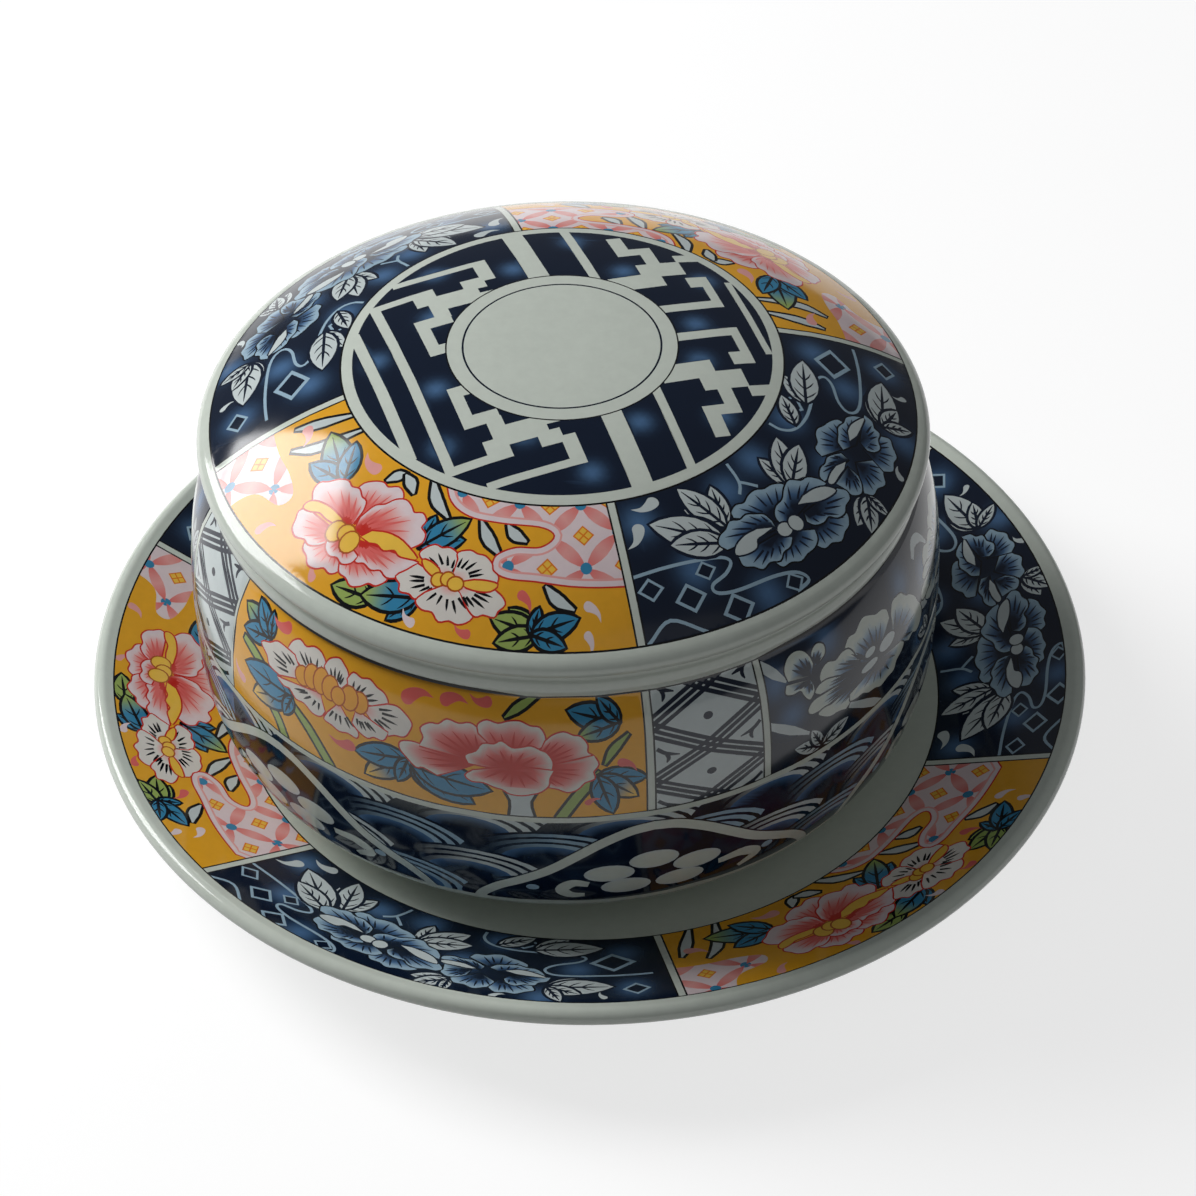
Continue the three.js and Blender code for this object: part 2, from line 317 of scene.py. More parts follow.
BAND_PINK_PEONY = (
    ((62.0, 12.0), (53.4, 7.3), (50.6, 8.4), (49.2, 8.0), (47.4, 9.6), (45.9, 11.2), (46.0, 12.8),
     (48.2, 13.5), (50.4, 13.4)),
    ((62.0, 12.4), (49.8, 13.2), (50.6, 15.2), (49.9, 17.0), (51.6, 18.4), (53.4, 18.6), (55.0, 19.9),
     (57.4, 19.5), (59.6, 20.0), (61.4, 19.0), (63.0, 17.6)),
    ((67.6, 13.0), (61.4, 18.4), (61.2, 20.0), (62.8, 21.0), (65.0, 20.6), (67.0, 21.2), (69.2, 21.4),
     (71.2, 20.6), (73.0, 20.4), (74.0, 18.8), (74.0, 17.0)),
    ((71.6, 12.4), (74.2, 17.8), (75.6, 19.0), (77.6, 19.6), (79.4, 18.9), (80.8, 18.6), (82.0, 17.0),
     (82.0, 15.4), (83.4, 14.4)),
    ((71.6, 11.8), (83.2, 14.6), (84.0, 12.6), (83.0, 11.0), (83.2, 9.4), (81.4, 8.6), (80.0, 7.0),
     (78.2, 6.4), (76.4, 7.2), (74.6, 7.6)),
    ((67.6, 11.0), (59.6, 11.6), (59.0, 13.2), (61.0, 14.4), (62.2, 16.2), (64.4, 16.4), (65.8, 17.2),
     (67.8, 16.0), (69.6, 16.2), (71.4, 16.6), (73.2, 15.8), (74.4, 15.2), (75.4, 13.4), (75.2, 11.2)),
    ((68.2, 12.2), (60.4, 10.0), (59.0, 8.6), (60.2, 7.5), (62.4, 7.6), (64.4, 6.8), (66.0, 6.4),
     (67.4, 5.5), (69.6, 5.3), (71.6, 5.8), (73.2, 6.4), (74.6, 7.9), (74.8, 9.6), (75.6, 11.4)),
)
BAND_BLUE_PEONY = (
    ((35.6, 11.0), (36.2, 15.0), (36.4, 17.2), (37.8, 18.9), (39.6, 18.9), (41.4, 18.4), (42.8, 16.8),
     (44.6, 15.8), (46.6, 13.8), (47.4, 12.0), (48.8, 10.2), (49.2, 7.8), (47.6, 6.0), (45.6, 5.8),
     (44.0, 6.8), (42.0, 6.4)),
    ((29.4, 11.8), (20.8, 17.6), (21.2, 19.2), (22.8, 20.4), (24.6, 20.2), (26.4, 21.2), (28.2, 21.6),
     (30.2, 20.8), (31.8, 20.0), (33.6, 19.8), (35.2, 18.8), (35.4, 16.8)),
    ((27.4, 12.2), (14.2, 14.6), (13.4, 16.4), (14.2, 18.0), (16.0, 18.7), (18.0, 18.0), (19.8, 18.6),
     (21.8, 18.4), (23.0, 16.8), (23.6, 15.0)),
    ((25.6, 12.4), (13.0, 13.2), (11.8, 14.2), (13.0, 15.3), (15.0, 15.4), (17.0, 14.8), (19.0, 14.0)),
    ((25.6, 11.2), (13.6, 9.6), (10.6, 9.8), (9.8, 11.2), (11.2, 12.6), (13.8, 12.7), (16.2, 12.6)),
    ((26.4, 10.8), (19.6, 5.6), (17.4, 6.4), (15.2, 6.6), (13.2, 7.8), (12.2, 9.0), (13.8, 9.5),
     (15.6, 9.2)),
    ((30.4, 10.4), (20.8, 8.4), (20.8, 6.8), (22.6, 6.2), (24.6, 6.1), (26.4, 5.0), (28.6, 4.6),
     (30.6, 3.6), (33.0, 4.0), (35.4, 4.0), (36.6, 5.6), (38.8, 6.4), (39.8, 7.6), (38.6, 8.8)),
)
BAND_BLUE_BUDS = ((27.8, 14.0, 1.7, 0.9), (33.6, 12.5, 2.9, 1.5), (27.2, 11.2, 2.7, 0.9))
BAND_BLUE_STEP = 40.0
BAND_SMALL_FLOWER = (
    ((12.0, 19.4), (12.4, 21.0), (12.8, 22.4), (14.4, 23.2), (16.0, 22.4), (15.8, 20.8), (14.4, 20.0)),
    ((11.0, 17.6), (5.4, 18.8), (5.0, 17.2), (6.6, 16.4), (8.4, 16.4), (9.2, 14.8), (10.4, 13.4),
     (11.6, 14.6), (11.6, 16.0)),
    ((11.4, 18.2), (6.0, 19.4), (5.6, 21.6), (6.8, 23.4), (8.8, 24.0), (10.8, 23.4), (12.0, 21.8),
     (12.4, 20.2)),
)

# A drop with a curled tail, as shares of its length
COMMA = (
    (1.0, -0.14), (0.7, 0.14), (0.36, 0.26), (0.02, 0.26), (-0.22, 0.16), (-0.28, -0.04), (-0.16, -0.24),
    (0.06, -0.28), (0.26, -0.16), (0.6, -0.04), (1.0, -0.14),
)

# Widths of strokes, and the shares of the width at their two ends
BLADE_WIDTH = 1.9
GRASS_WIDTH = 1.4
STEM_WIDTH = 1.8
STEM_ENDS = (0.6, 1)
CALYX_WIDTH = 3.6
CALYX_ENDS = (1.8, 1.3)
WHITE_STEM_WIDTH = 2.0
WHITE_STEM_ENDS = (0.6, 0.3)
THREAD_WIDTH = 0.6

# Reach of the soft lights in the navy grounds
PANEL_GLOW = 3.0
FRET_GLOW = 2.2

# A line of white between two dark ones
DIVIDER = ((2.0, BLACK), (1.3, GLAZE))

# Brocade clouds: the cell of their pattern, where it starts, and the free edges of two clouds
CLOUD_CELL = (14.6, 12.4)
CLOUD_START = (-8.9, -0.2)
CLOUD_COUNT = (8, 4)
CLOUD_EDGES = ((LINE, BLUSH), (1.3, PINK))
CLOUD_INSET = 1.7
BROCADE_LENS = 2.6
BROCADE_SQUARE = 2.0
BROCADE_QUARTER = 0.7
BROCADE_QUARTER_PLACE = (0.9, 0)
BROCADE_DOT = 1.1
CLOUD_RIGHT = (
    (43.5, -1.5), (47.9, 2.5), (53.4, 4.3), (60.5, 4.4), (69.1, 4.4), (72.4, 5.9), (69.9, 8.0),
    (64.9, 8.4), (61.3, 10.4), (61.3, 13.2), (64.2, 14.5), (69.7, 14.7), (77.0, 15.6), (87.0, 16.4),
)
CLOUD_LEFT = (
    (-3, 13.8), (6.2, 14.6), (12.3, 14.8), (17.0, 16.5), (16.6, 19.4), (11.5, 21.0), (9.5, 24.0),
    (9.0, 29.0),
)

# The yellow panel of the lid and the plate, as length along it and distance out from its inner edge
YELLOW_BLADES = (
    ((3.0, 10.3), (5.0, 6.0), (8.0, -1.0)),
    ((7.8, 12.6), (11.2, 8.0), (14.2, -1.0)),
    ((31.0, 4.0), (32.4, 2.0), (34.2, 0.8)),
    ((33.8, 1.0), (36.4, 2.0), (38.8, 3.6)),
    ((40.6, -0.8), (44.6, 3.0), (49.2, 5.6)),
    ((56.4, 4.4), (59.0, 7.6), (62.2, 10.4)),
    ((62.4, 4.4), (64.4, 6.2), (67.0, 7.3)),
    ((71.3, 15.2), (73.4, 17.6), (76.2, 19.3)),
)
YELLOW_LEAVES = (
    ((23.2, 8.8), (((9.6, 4.8), GREEN_TIP), ((13.8, 10.9), BLUE_LEAF),
                   ((16.4, 2.2), BLUE_LEAF))),
    ((46.4, 12.4), (((46.4, 6.0), BLUE_LEAF), ((54.3, 8.8), BLUE_LEAF),
                    ((53.9, 4.8), GREEN_TIP))),
    ((43.2, 23.2), (((35.6, 23.9), GREEN_LEAF),)),
    ((50.2, 20.6), (((44.8, 19.0), BLUE_LEAF), ((46.6, 25.2), BLUE_LEAF),
                    ((41.0, 23.2), GREEN_TIP))),
    ((70.4, 23.4), (((65.6, 19.4), GREEN_LEAF), ((62.8, 21.2), GREEN_LEAF),
                    ((64.0, 25.0), GREEN_LEAF))),
    ((69.4, 23.4), (((70.4, 19.0), BLUE_LEAF), ((76.8, 20.7), BLUE_LEAF),
                    ((74.6, 25.2), BLUE_LEAF))),
)
YELLOW_COMMAS = (
    ((26.4, 3.4), 4.6, PINK, 2.9), ((67.4, 17.0), 3.4, ROSE, -0.9), ((59.4, 24.4), 3.0, ROSE, 2.8),
    ((50.4, 24.6), 3.0, BLUSH, 2.6), ((78.6, 18.8), 3.4, BLUSH, -0.8), ((78.2, 23.6), 3.0, BLUSH, -1.4),
    ((17.4, 24.2), 3.4, PINK, 0.9), ((31.6, 24.6), 2.8, PINK, 2.2), ((5.0, 8.2), 4.0, PINK, -0.4),
)

# The navy panel of the lid and the plate
NAVY_GLOWS = (
    (5, 5), (12, 16), (22, 24), (27, 5), (38, 3), (50, 14), (55, 3), (66, 24), (72, 12), (81, 6), (82, 20),
)
NAVY_THREADS = (
    ((0.5, 14.8), (6.0, 14.2), (11.5, 14.3), (17.0, 15.2), (18.8, 16.6), (17.0, 18.2), (14.0, 19.2),
     (14.0, 20.6), (17.0, 21.4), (24.0, 21.8), (28.2, 23.0), (29.4, 25.0), (26.6, 25.6)),
    ((86.0, 14.8), (76.0, 14.7), (68.0, 14.6), (65.6, 12.8), (67.4, 10.6), (72.0, 9.0), (73.4, 7.4),
     (71.0, 6.0), (65.0, 5.8), (58.0, 5.9), (53.0, 5.0), (50.8, 3.0), (50.6, 0.6)),
    ((1.0, 26.0), (5.2, 22.9), (10.6, 26.2)),
    ((32.0, 0.6), (30.8, 4.8), (28.8, 6.8)),
    ((30.8, 4.8), (32.0, 5.8), (33.6, 7.4)),
)
NAVY_LOZENGES = (
    ((3.4, 17.4), 2.6), ((9.6, 20.2), 3.2), ((16.4, 24.2), 3.4), ((13.8, 16.6), 2.2),
    ((27.0, 24.2), 2.2), ((78.8, 9.4), 4.6), ((60.0, 2.6), 3.0), ((82.4, 20.4), 2.8),
)
NAVY_LEAVES = (
    ((21.8, 10.8), ((24.4, 2.8), (15.6, 5.0), (16.8, 0.6))),
    ((20.2, 13.6), ((13.8, 6.4), (7.0, 5.8), (9.6, 10.6))),
    ((39.4, 11.2), ((39.4, 3.6), (47.8, 3.2), (49.6, 7.2))),
    ((49.8, 21.6), ((43.4, 23.4), (44.4, 26.0), (49.6, 26.4))),
    ((66.6, 19.6), ((73.0, 16.0), (78.4, 19.2), (72.6, 22.0), (69.4, 25.0))),
    ((54.4, 4.8), ((61.8, 0.2),)),
    ((62.4, 5.0), ((69.6, -0.4), (77.0, 3.4))),
)
NAVY_COMMAS = (
    ((9.6, 1.8), 4.4, 3.3), ((4.4, 6.4), 4.4, -2.2), ((58.0, 25.0), 2.6, 0.6), ((76.6, 23.4), 2.4, 2.0),
)

# Lid decoration: radii of its rings, and the angles of its panels
LID_PAINT_EDGE = 70.6
LID_BORDER = 69.05
LID_RING = 43.2
LID_FRET = 40.7
LID_PANEL_MIDDLE = 56.0
LID_PANELS = ((194.0, 282.0), (282.0, 372.0), (12.0, 102.0), (102.0, 194.0))
LID_MIDDLE_RINGS = ((22.6, BLACK), (22.3, GLAZE), (19.4, NAVY), (19.0, GLAZE))

# Key fret: bars as left, right, low and high on a square net, the same again mirrored to its other side
FRET_TURN = math.radians(-72)
FRET_BARS = (
    (20, 41, 0.4, 4.6), (17, 41, 11.9, 13.8), (0, 20, -37.4, -35.2), (0, 27, -31.4, -29.4), (0, 12, 37.6, 39),
    (25, 27, -31.4, -18.2), (21.6, 27, -22.8, -18.2), (18.8, 24, -20.4, -10), (18.8, 21.4, -12, -3),
    (23, 26.8, -12.6, -8), (25.2, 33, -8.6, -5.6), (31.2, 33, -25, -5.6), (5.3, 17.2, -24.9, -22.4),
    (5.3, 8.2, -24.9, -19), (14, 17.2, -24, -17.6), (16, 21.6, -20.6, -17.4), (3.4, 5.8, 19, 34.6),
    (3.4, 14.4, 32.7, 34.6), (10.8, 14.4, 30.2, 34.6), (12.4, 17.2, 15, 25.8), (15.8, 20.8, 22, 31),
    (18, 27.4, 24.4, 27.2), (24.8, 27.4, 19.8, 27.2), (25, 32.8, 19.8, 22.8), (20.6, 23.4, 30.6, 37),
)
FRET_GLOWS = tuple((27 + 9 * (number % 2), 15 + 24 * number) for number in range(15))

# Plate decoration
PLATE_PAINT_EDGES = (71.2, 99.6)
PLATE_BORDER = 98.2
PLATE_RING = 73.0
PLATE_PANEL_MIDDLE = 85.5
PLATE_PANEL_START = 160.0
PLATE_PANEL_TURN = 60.0

# Bowl decoration: heights of its bands, and angles from the front towards the right
BAND_RADIUS = 75.0
BAND_START = -59.4
BOWL_PAINT_EDGES = (20.5, 75.0)
PANEL_BAND = (47.9, 73.5)
WAVE_BAND = (22.3, 46.3)
BAND_PANELS = ((-59.4, 12.35), (12.35, 30.5), (30.5, 102.3), (102.3, 120.6))

# The yellow panel of the bowl, as length along it and height above its lower edge
BAND_STEMS = (
    ((20.8, 9.4), (25.4, 5.6), (30.6, -1.0)), ((13.4, 6.0), (16.2, 3.4), (18.4, -1.0)),
    ((84.4, 10.8), (80.2, 5.4), (76.4, -1.0)), ((4.6, 15.6), (8.6, 14.4), (12.6, 12.4)),
)
BAND_CALYX = ((69.4, 7.0), (69.4, 3.0), (69.6, -1.0))
BAND_LEAVES = (
    ((12.6, 20.0), (((3.0, 22.2), GREEN_TIP), ((4.2, 17.6), BLUE_LEAF),
                    ((6.4, 24.8), BLUE_LEAF), ((11.2, 24.6), BLUE_LEAF))),
    ((20.4, 11.2), (((8.6, 4.8), GOLD_TIP), ((5.8, 10.4), BLUE_LEAF),
                    ((18.2, 5.8), BLUE_LEAF))),
    ((47.6, 9.4), (((38.4, 2.0), GOLD_TIP), ((36.2, 6.8), BLUE_LEAF),
                   ((45.4, 3.2), BLUE_LEAF))),
    ((48.4, 8.0), (((52.4, 2.8), BLUE_LEAF), ((60.4, 1.8), BLUE_LEAF),
                   ((63.8, 5.6), BLUE_LEAF))),
    ((88.4, 21.0), (((78.4, 23.6), BLUE_LEAF), ((80.4, 18.6), GREEN_TIP),
                    ((84.4, 25.6), BLUE_LEAF))),
    ((83.8, 10.0), (((93.0, 8.6), BLUE_LEAF), ((91.2, 4.2), GOLD_TIP),
                    ((86.6, 0.6), BLUE_LEAF))),
)
BAND_BLADES = (((66.2, 21.9), (69.0, 24.0), (73.4, 26.6)), ((90.0, 18.6), (87.0, 15.6), (85.2, 12.4)))
BAND_COMMAS = (
    ((16.0, 23.8), 4.4, ROSE, 3.2), ((34.8, 7.2), 5.0, ROSE, 3.2), ((4.6, 5.4), 4.0, PINK, 2.4),
    ((88.6, 12.6), 3.6, ROSE, -0.6), ((82.0, 3.6), 2.6, ROSE, 0.4), ((46.6, 22.4), 5.4, ROSE, 0.3),
    ((54.4, 23.6), 4.6, ROSE, 0.1), ((62.6, 24.2), 3.8, ROSE, 3.0),
)

# The navy panel of the bowl
BAND_GLOWS = ((3, 20), (17, 23), (6, 12), (52, 16), (48, 3), (42, 20), (74, 4), (86, 21), (91, 8))
BAND_WHITE_STEMS = (
    ((-1.0, 26.0), (2.6, 22.6), (5.6, 19.6)), ((-1.0, 13.0), (4.6, 9.2), (10.0, 5.4)),
    ((20.6, 5.8), (26.6, 2.2), (33.0, -2.0)), ((49.4, 20.6), (51.8, 22.4), (55.0, 21.6), (57.6, 18.6)),
    ((61.0, 5.8), (66.6, 2.2), (73.0, -2.0)), ((48.0, 9.4), (50.6, 8.8), (53.0, 7.4)),
)
BAND_WHITE_LEAVES = (
    ((13.0, 0.6), ((6.2, 3.4), (10.4, 5.8), (20.2, 3.2))), ((53.0, 1.0), ((47.0, 3.6), (50.6, 5.6))),
    ((90.6, 12.0), ((88.0, 18.4), (92.4, 18.6))), ((89.0, 6.0), ((84.4, 2.0), (90.4, 0.8))),
)

# Lattice strips of the bowl: bands of three lines that cross, dots in the diamonds and twigs at the sides
LATTICE_REACH = 13.0
LATTICE_STEP = 12.5
LATTICE_START = 0.25
LATTICE_SLOPE = 0.51
LATTICE_SHIFTS = (-1.35, 0.0, 1.35)
LATTICE_LINE = 0.84
LATTICE_DOTS = (6.5, 19.0)
LATTICE_DOT_SIZE = (1.0, 0.8)
TWIG = ((10.6, 1.6), (8.8, 0.3), (6.2, -0.4))
TWIG_SIDE = ((8.8, 0.3), (8.4, -0.8), (8.8, -1.8))

# Waves: how many round the bowl, their rows, half sizes, rings and shading from the dark side to the light
WAVE_COUNT = 16
WAVE_ROWS = 4
WAVE_ROW_STEP = 6.2
WAVE_TOP = 4.6
WAVE_SIZE = np.array((17.0, 8.4))
WAVE_RINGS = (1.0, 0.84, 0.68)
WAVE_LINE = 0.065
WAVE_LIGHTS = (PALE, SKY)
WAVE_DARK_SIDE = (0.2, 0.6)
WAVE_HEART = 0.52
WAVE_STOPS = ((0.0, NAVY), (0.3, NAVY), (0.52, COBALT))

# Arches over the waves: the right half of their edge from the foot up, and what is painted in them
ARCH_START = 12.8
ARCH_TURN = 60.0
ARCH = (
    (36.4, -4.0), (34.6, 1.6), (31.0, 5.6), (26.4, 8.4), (21.0, 11.6), (15.6, 15.6), (10.6, 19.0),
    (5.0, 21.6), (0, 22.4),
)
ARCH_LINE = 2.2
BLOSSOM_HEIGHT = 8.0
BLOSSOM_SIZE = (9.1, 3.9)
PETAL_SIZE = np.array((4.9, 2.4))
CURL_LEFT = ((-12.6, -1.8), (-15.6, -1.2), (-17.8, -3.2), (-16.2, -5.2), (-13.4, -5.4))
CURL_RIGHT = ((13.2, -1.6), (18.4, -1.2), (21.6, -3.2), (18.0, -5.8))
CURL_WIDTH = 2.6
CURL_ENDS = (0.6, 0.5)
CURL_DOT_SIZE = (1.3, 0.9)
CURL_DOTS = ((-23.4, -2.6), (24.0, -2.0))


def ramp(values, stops):
    """Colours for the values, between stops of value and colour."""
    marks, colours = zip(*stops)
    return np.column_stack([np.interp(values, marks, channel) for channel in zip(*colours)])


# Drawing: outlines are arrays of points on a flat sheet, and run anticlockwise
class Spot:
    """A place on a sheet with its own axes, where a motif is drawn."""

    def __init__(self, origin, turn=0.0):
        self.origin = np.asarray(origin, float)
        self.axes = np.array([(math.cos(turn), math.sin(turn)), (-math.sin(turn), math.cos(turn))])

    def out(self, points):
        return self.origin + np.asarray(points, float) @ self.axes

    def back(self, points):
        return (points - self.origin) @ self.axes.T

    def fade(self, stops, stretch=(1.0, 1.0)):
        """A colour that changes with the distance from this place."""
        def colour(points):
            local = self.back(points) / stretch
            return ramp(np.hypot(local[:, 0], local[:, 1]), stops)
        return colour


def along(start, end, stops):
    """A colour that changes from one point to another."""
    start = np.asarray(start, float)
    way = np.asarray(end, float) - start

    def colour(points):
        return ramp((points - start) @ way / (way @ way), stops)
    return colour


def glows(ground, light, places, reach):
    """A ground colour with soft spots of light in it."""
    def colour(points):
        share = np.zeros(len(points))
        for place in places:
            share += np.exp(-np.sum((points - place) ** 2, axis=1) / reach ** 2)
        share = np.clip(share, 0, 1)[:, None]
        return np.array(ground) * (1 - share) + np.array(light) * share
    return colour


def smooth(points, steps=5):
    """A curve through the points."""
    knots = np.asarray(points, float)
    padded = np.vstack([2 * knots[0] - knots[1], knots, 2 * knots[-1] - knots[-2]])
    around = (padded[:-3], padded[1:-2], padded[2:-1], padded[3:])
    before, start, end, beyond = (knot[:, None] for knot in around)
    share = np.linspace(0, 1, steps, endpoint=False)[None, :, None]
    bend = 2 * before - 5 * start + 4 * end - beyond
    twist = 3 * (start - end) + beyond - before
    curve = start + 0.5 * share * (end - before + share * (bend + share * twist))
    return np.vstack([curve.reshape(-1, 2), knots[-1]])


def bezier(controls, steps=CURVE_STEPS):
    """A curve from its control points."""
    share = np.linspace(0, 1, steps + 1)[:, None]
    stages = [np.repeat(np.array(control, float)[None], steps + 1, axis=0) for control in controls]
    while len(stages) > 1:
        stages = [first + share * (second - first) for first, second in zip(stages, stages[1:])]
    return stages[0]


def anticlockwise(points):
    """The outline in the direction that the drawing needs."""
    points = np.asarray(points, float)
    ahead = np.roll(points, -1, axis=0)
    turn = np.sum(points[:, 0] * ahead[:, 1] - points[:, 1] * ahead[:, 0])
    return points if turn > 0 else points[::-1]


def grow(outline, margin):
    """The outline with each point moved outwards."""
    way = np.roll(outline, -1, axis=0) - np.roll(outline, 1, axis=0)
    way /= np.maximum(np.linalg.norm(way, axis=1), 1e-9)[:, None]
    return outline + margin * np.column_stack([way[:, 1], -way[:, 0]])


def brush(points, width, ends=(0.15, 0.15), steps=5):
    """A stroke along a curve through the points, with the share of its width at each end."""
    path = smooth(points, steps)
    way = np.gradient(path, axis=0)
    way /= np.linalg.norm(way, axis=1)[:, None]
    across = np.column_stack([-way[:, 1], way[:, 0]])
    share = np.linspace(0, 1, len(path))
    half = 0.5 * width * np.interp(share, (0, 0.4, 0.6, 1), (ends[0], 1, 1, ends[1]))[:, None]
    return np.vstack([path - across * half, (path + across * half)[::-1]])


def oval(centre, wide, high, sides=20):
    """An ellipse with the given half sizes."""
    angle = np.linspace(0, FULL_TURN, sides, endpoint=False)
    return np.asarray(centre, float) + np.column_stack([wide * np.cos(angle), high * np.sin(angle)])


def disc(radius):
    return oval((0, 0), radius, radius, RING_SIDES)


def box(left, right, low, high):
    return np.array([(left, low), (right, low), (right, high), (left, high)], float)


def diamond(centre, wide, high):
    return oval(centre, wide, high, 4)


def lens(start, end, width):
    """A slim pointed oval between two points."""
    start = np.asarray(start, float)
    way = np.asarray(end, float) - start
    side = np.array((-way[1], way[0])) / np.linalg.norm(way) * width
    right = bezier([start, start + 0.5 * way - side, start + way], 6)
    left = bezier([start + way, start + 0.5 * way + side, start], 6)
    return np.vstack([right[:-1], left[:-1]])


class Canvas:
    """A sheet of painted shapes, each over those before it and seen only within the one it names.

    A sheet that goes round has the left and right ends of one turn, and a shape over one end is repeated at
    the other.
    """

    def __init__(self, outline, hole=None, ends=None):
        self.ends = ends
        self.outlines = []
        self.colours = []
        self.limits = []
        self.ground = self.add(outline, GLAZE)
        self.hole = None if hole is None else self.add(hole, GLAZE)

    def add(self, outline, colour, within=None):
        """Paints a shape and returns its number."""
        number = self.paint(outline, colour, within)
        if self.ends is not None and number > 0:
            left, right = self.ends
            low, high = self.outlines[number][:, 0].min(), self.outlines[number][:, 0].max()
            turn = right - left
            over_left = low < left + SEAM_REACH
            if high - low < turn and (over_left or high > right - SEAM_REACH):
                self.paint(self.outlines[number] + (turn if over_left else -turn, 0), colour, within)
        return number

    def paint(self, outline, colour, within):
        self.outlines.append(anticlockwise(outline))
        self.colours.append(colour)
        self.limits.append(within)
        return len(self.outlines) - 1

    def shown(self, shape, covers):
        limit = self.limits[shape]
        while limit is not None:
            if limit not in covers:
                return False
            limit = self.limits[limit]
        return True

    def cut(self, grid):
        """Cuts the sheet along every outline: points, triangles, corner colours and the edge loops."""
        counts = [len(outline) for outline in self.outlines]
        ends = np.cumsum(counts)
        faces = [list(range(end - count, end)) for end, count in zip(ends, counts)]
        points = [Vector(point) for point in np.vstack(self.outlines + [grid])]
        cut = delaunay_2d_cdt(points, [], faces, 1, CUT_TOLERANCE, True)
        places = np.array([tuple(point) for point in cut[0]])
        triangles = []
        tops = []
        for triangle, covers in zip(cut[2], cut[5]):
            covers = set(covers)
            if self.ground not in covers or self.hole in covers:
                continue
            triangles.append(triangle)
            tops.append(next(shape for shape in sorted(covers, reverse=True) if self.shown(shape, covers)))
        triangles = np.array(triangles)
        tops = np.array(tops)
        paint = np.zeros((len(triangles), 3, 3))
        for shape in np.unique(tops):
            chosen = tops == shape
            colour = self.colours[shape]
            corners = places[triangles[chosen]].reshape(-1, 2)
            paint[chosen] = colour(corners).reshape(-1, 3, 3) if callable(colour) else colour
        where = {before: after for after, befores in enumerate(cut[3]) for before in befores}
        edges = [edge for edge in (self.ground, self.hole) if edge is not None]
        loops = [[where[vertex] for vertex in faces[edge]] for edge in edges]
        return places, triangles, paint, loops


def hex_grid(left, right, low, high):
    """Points of an even triangular net."""
    row_step = GRID_STEP * math.sqrt(0.75)
    rows = np.arange(low + row_step / 2, high, row_step)
    columns = np.arange(left + GRID_STEP / 2, right, GRID_STEP)
    across, up = np.meshgrid(columns, rows)
    across[::2] += GRID_STEP / 2
    return np.column_stack([across.ravel(), up.ravel()])


# Panels: places on them are given as the length along the panel and the height across it
class RingPanel:
    """A stretch of a flat ring, seen with the middle of the ring upwards; heights run outwards."""

    def __init__(self, start, end, inside, outside, middle):
        self.start = math.radians(start)
        self.end = math.radians(end)
        self.inside = inside
        self.outside = outside
        self.middle = middle

    def at(self, points):
        points = np.atleast_2d(np.asarray(points, float))
        angle = self.start + points[:, 0] / self.middle
        radius = self.inside + points[:, 1]
        return np.column_stack([radius * np.cos(angle), radius * np.sin(angle)])

    def spot(self, place, turn=0.0):
        angle = self.start + place[0] / self.middle
        return Spot(self.at(place)[0], angle + math.pi / 2 + turn)

    def outline(self):
        angle = np.linspace(self.start, self.end, 1 + round((self.end - self.start) / math.radians(2)))
        way = np.column_stack([np.cos(angle), np.sin(angle)])
        return np.vstack([self.outside * way, self.inside * way[::-1]])


class BandPanel:
    """A stretch of a band round the bowl; heights run upwards."""

    def __init__(self, left, right, low, high):
        self.sides = (left, right, low, high)

    def at(self, points):
        return np.array((self.sides[0], self.sides[2])) + np.atleast_2d(np.asarray(points, float))

    def spot(self, place, turn=0.0):
        return Spot(self.at(place)[0], turn)

    def outline(self):
        return box(*self.sides)


# Motifs
def outlined(canvas, outline, fill, line, within, width=LINE):
    """A shape with a line round it."""
    outline = anticlockwise(outline)
    canvas.add(grow(outline, width), line, within)
    canvas.add(outline, fill, within)


def petal_fade(base, edge, stops):
    """A colour that changes from the base of a petal to its edge."""
    way = edge - base
    turns = np.arctan2(way[:, 1], way[:, 0])
    reach = np.hypot(way[:, 0], way[:, 1])

    def colour(points):
        local = points - base
        full = np.interp(np.arctan2(local[:, 1], local[:, 0]), turns, reach, period=FULL_TURN)
        return ramp(np.hypot(local[:, 0], local[:, 1]) / full, stops)
    return colour


def petal(canvas, panel, base, knots, style, within):
    """A petal from its base and the points of its edge, with its streaks."""
    base = panel.at(base)[0]
    edge = panel.at(smooth(knots, 3))
    outlined(canvas, np.vstack([base, edge]), petal_fade(base, edge, style.stops), style.line, within)
    if style.streak is None:
        return
    for mark in STREAK_MARKS:
        tip = edge[round(mark * (len(edge) - 1))]
        path = base + np.outer(style.span, tip - base)
        canvas.add(brush(path, style.width, (1, 0.1), 2), style.streak, within)


def flower(canvas, panel, petals, style, within):
    """Petals from the back forwards."""
    for base, *knots in petals:
        petal(canvas, panel, base, knots, style, within)


def buds(canvas, panel, places, fill, line, within):
    """Small ovals: length along the panel, height, and half sizes."""
    for place_along, height, wide, high in places:
        bud = panel.spot((place_along, height)).out(oval((0, 0), wide, high, 14))
        outlined(canvas, bud, fill, line, within)


def pink_peony(canvas, panel, within):
    """A pink peony with golden tongues across it."""
    flower(canvas, panel, PINK_PEONY, PINK_STYLE, within)
    flower(canvas, panel, PINK_TONGUES, GOLD_STYLE, within)
    buds(canvas, panel, PINK_BUDS, GOLD, RUST, within)


def white_flower(canvas, panel, within):
    """A white flower with a golden middle and black stamens."""
    flower(canvas, panel, WHITE_FLOWER, WHITE_STYLE, within)
    flower(canvas, panel, WHITE_TONGUES, GOLD_STYLE, within)
    buds(canvas, panel, WHITE_BUDS, GOLD, RUST, within)


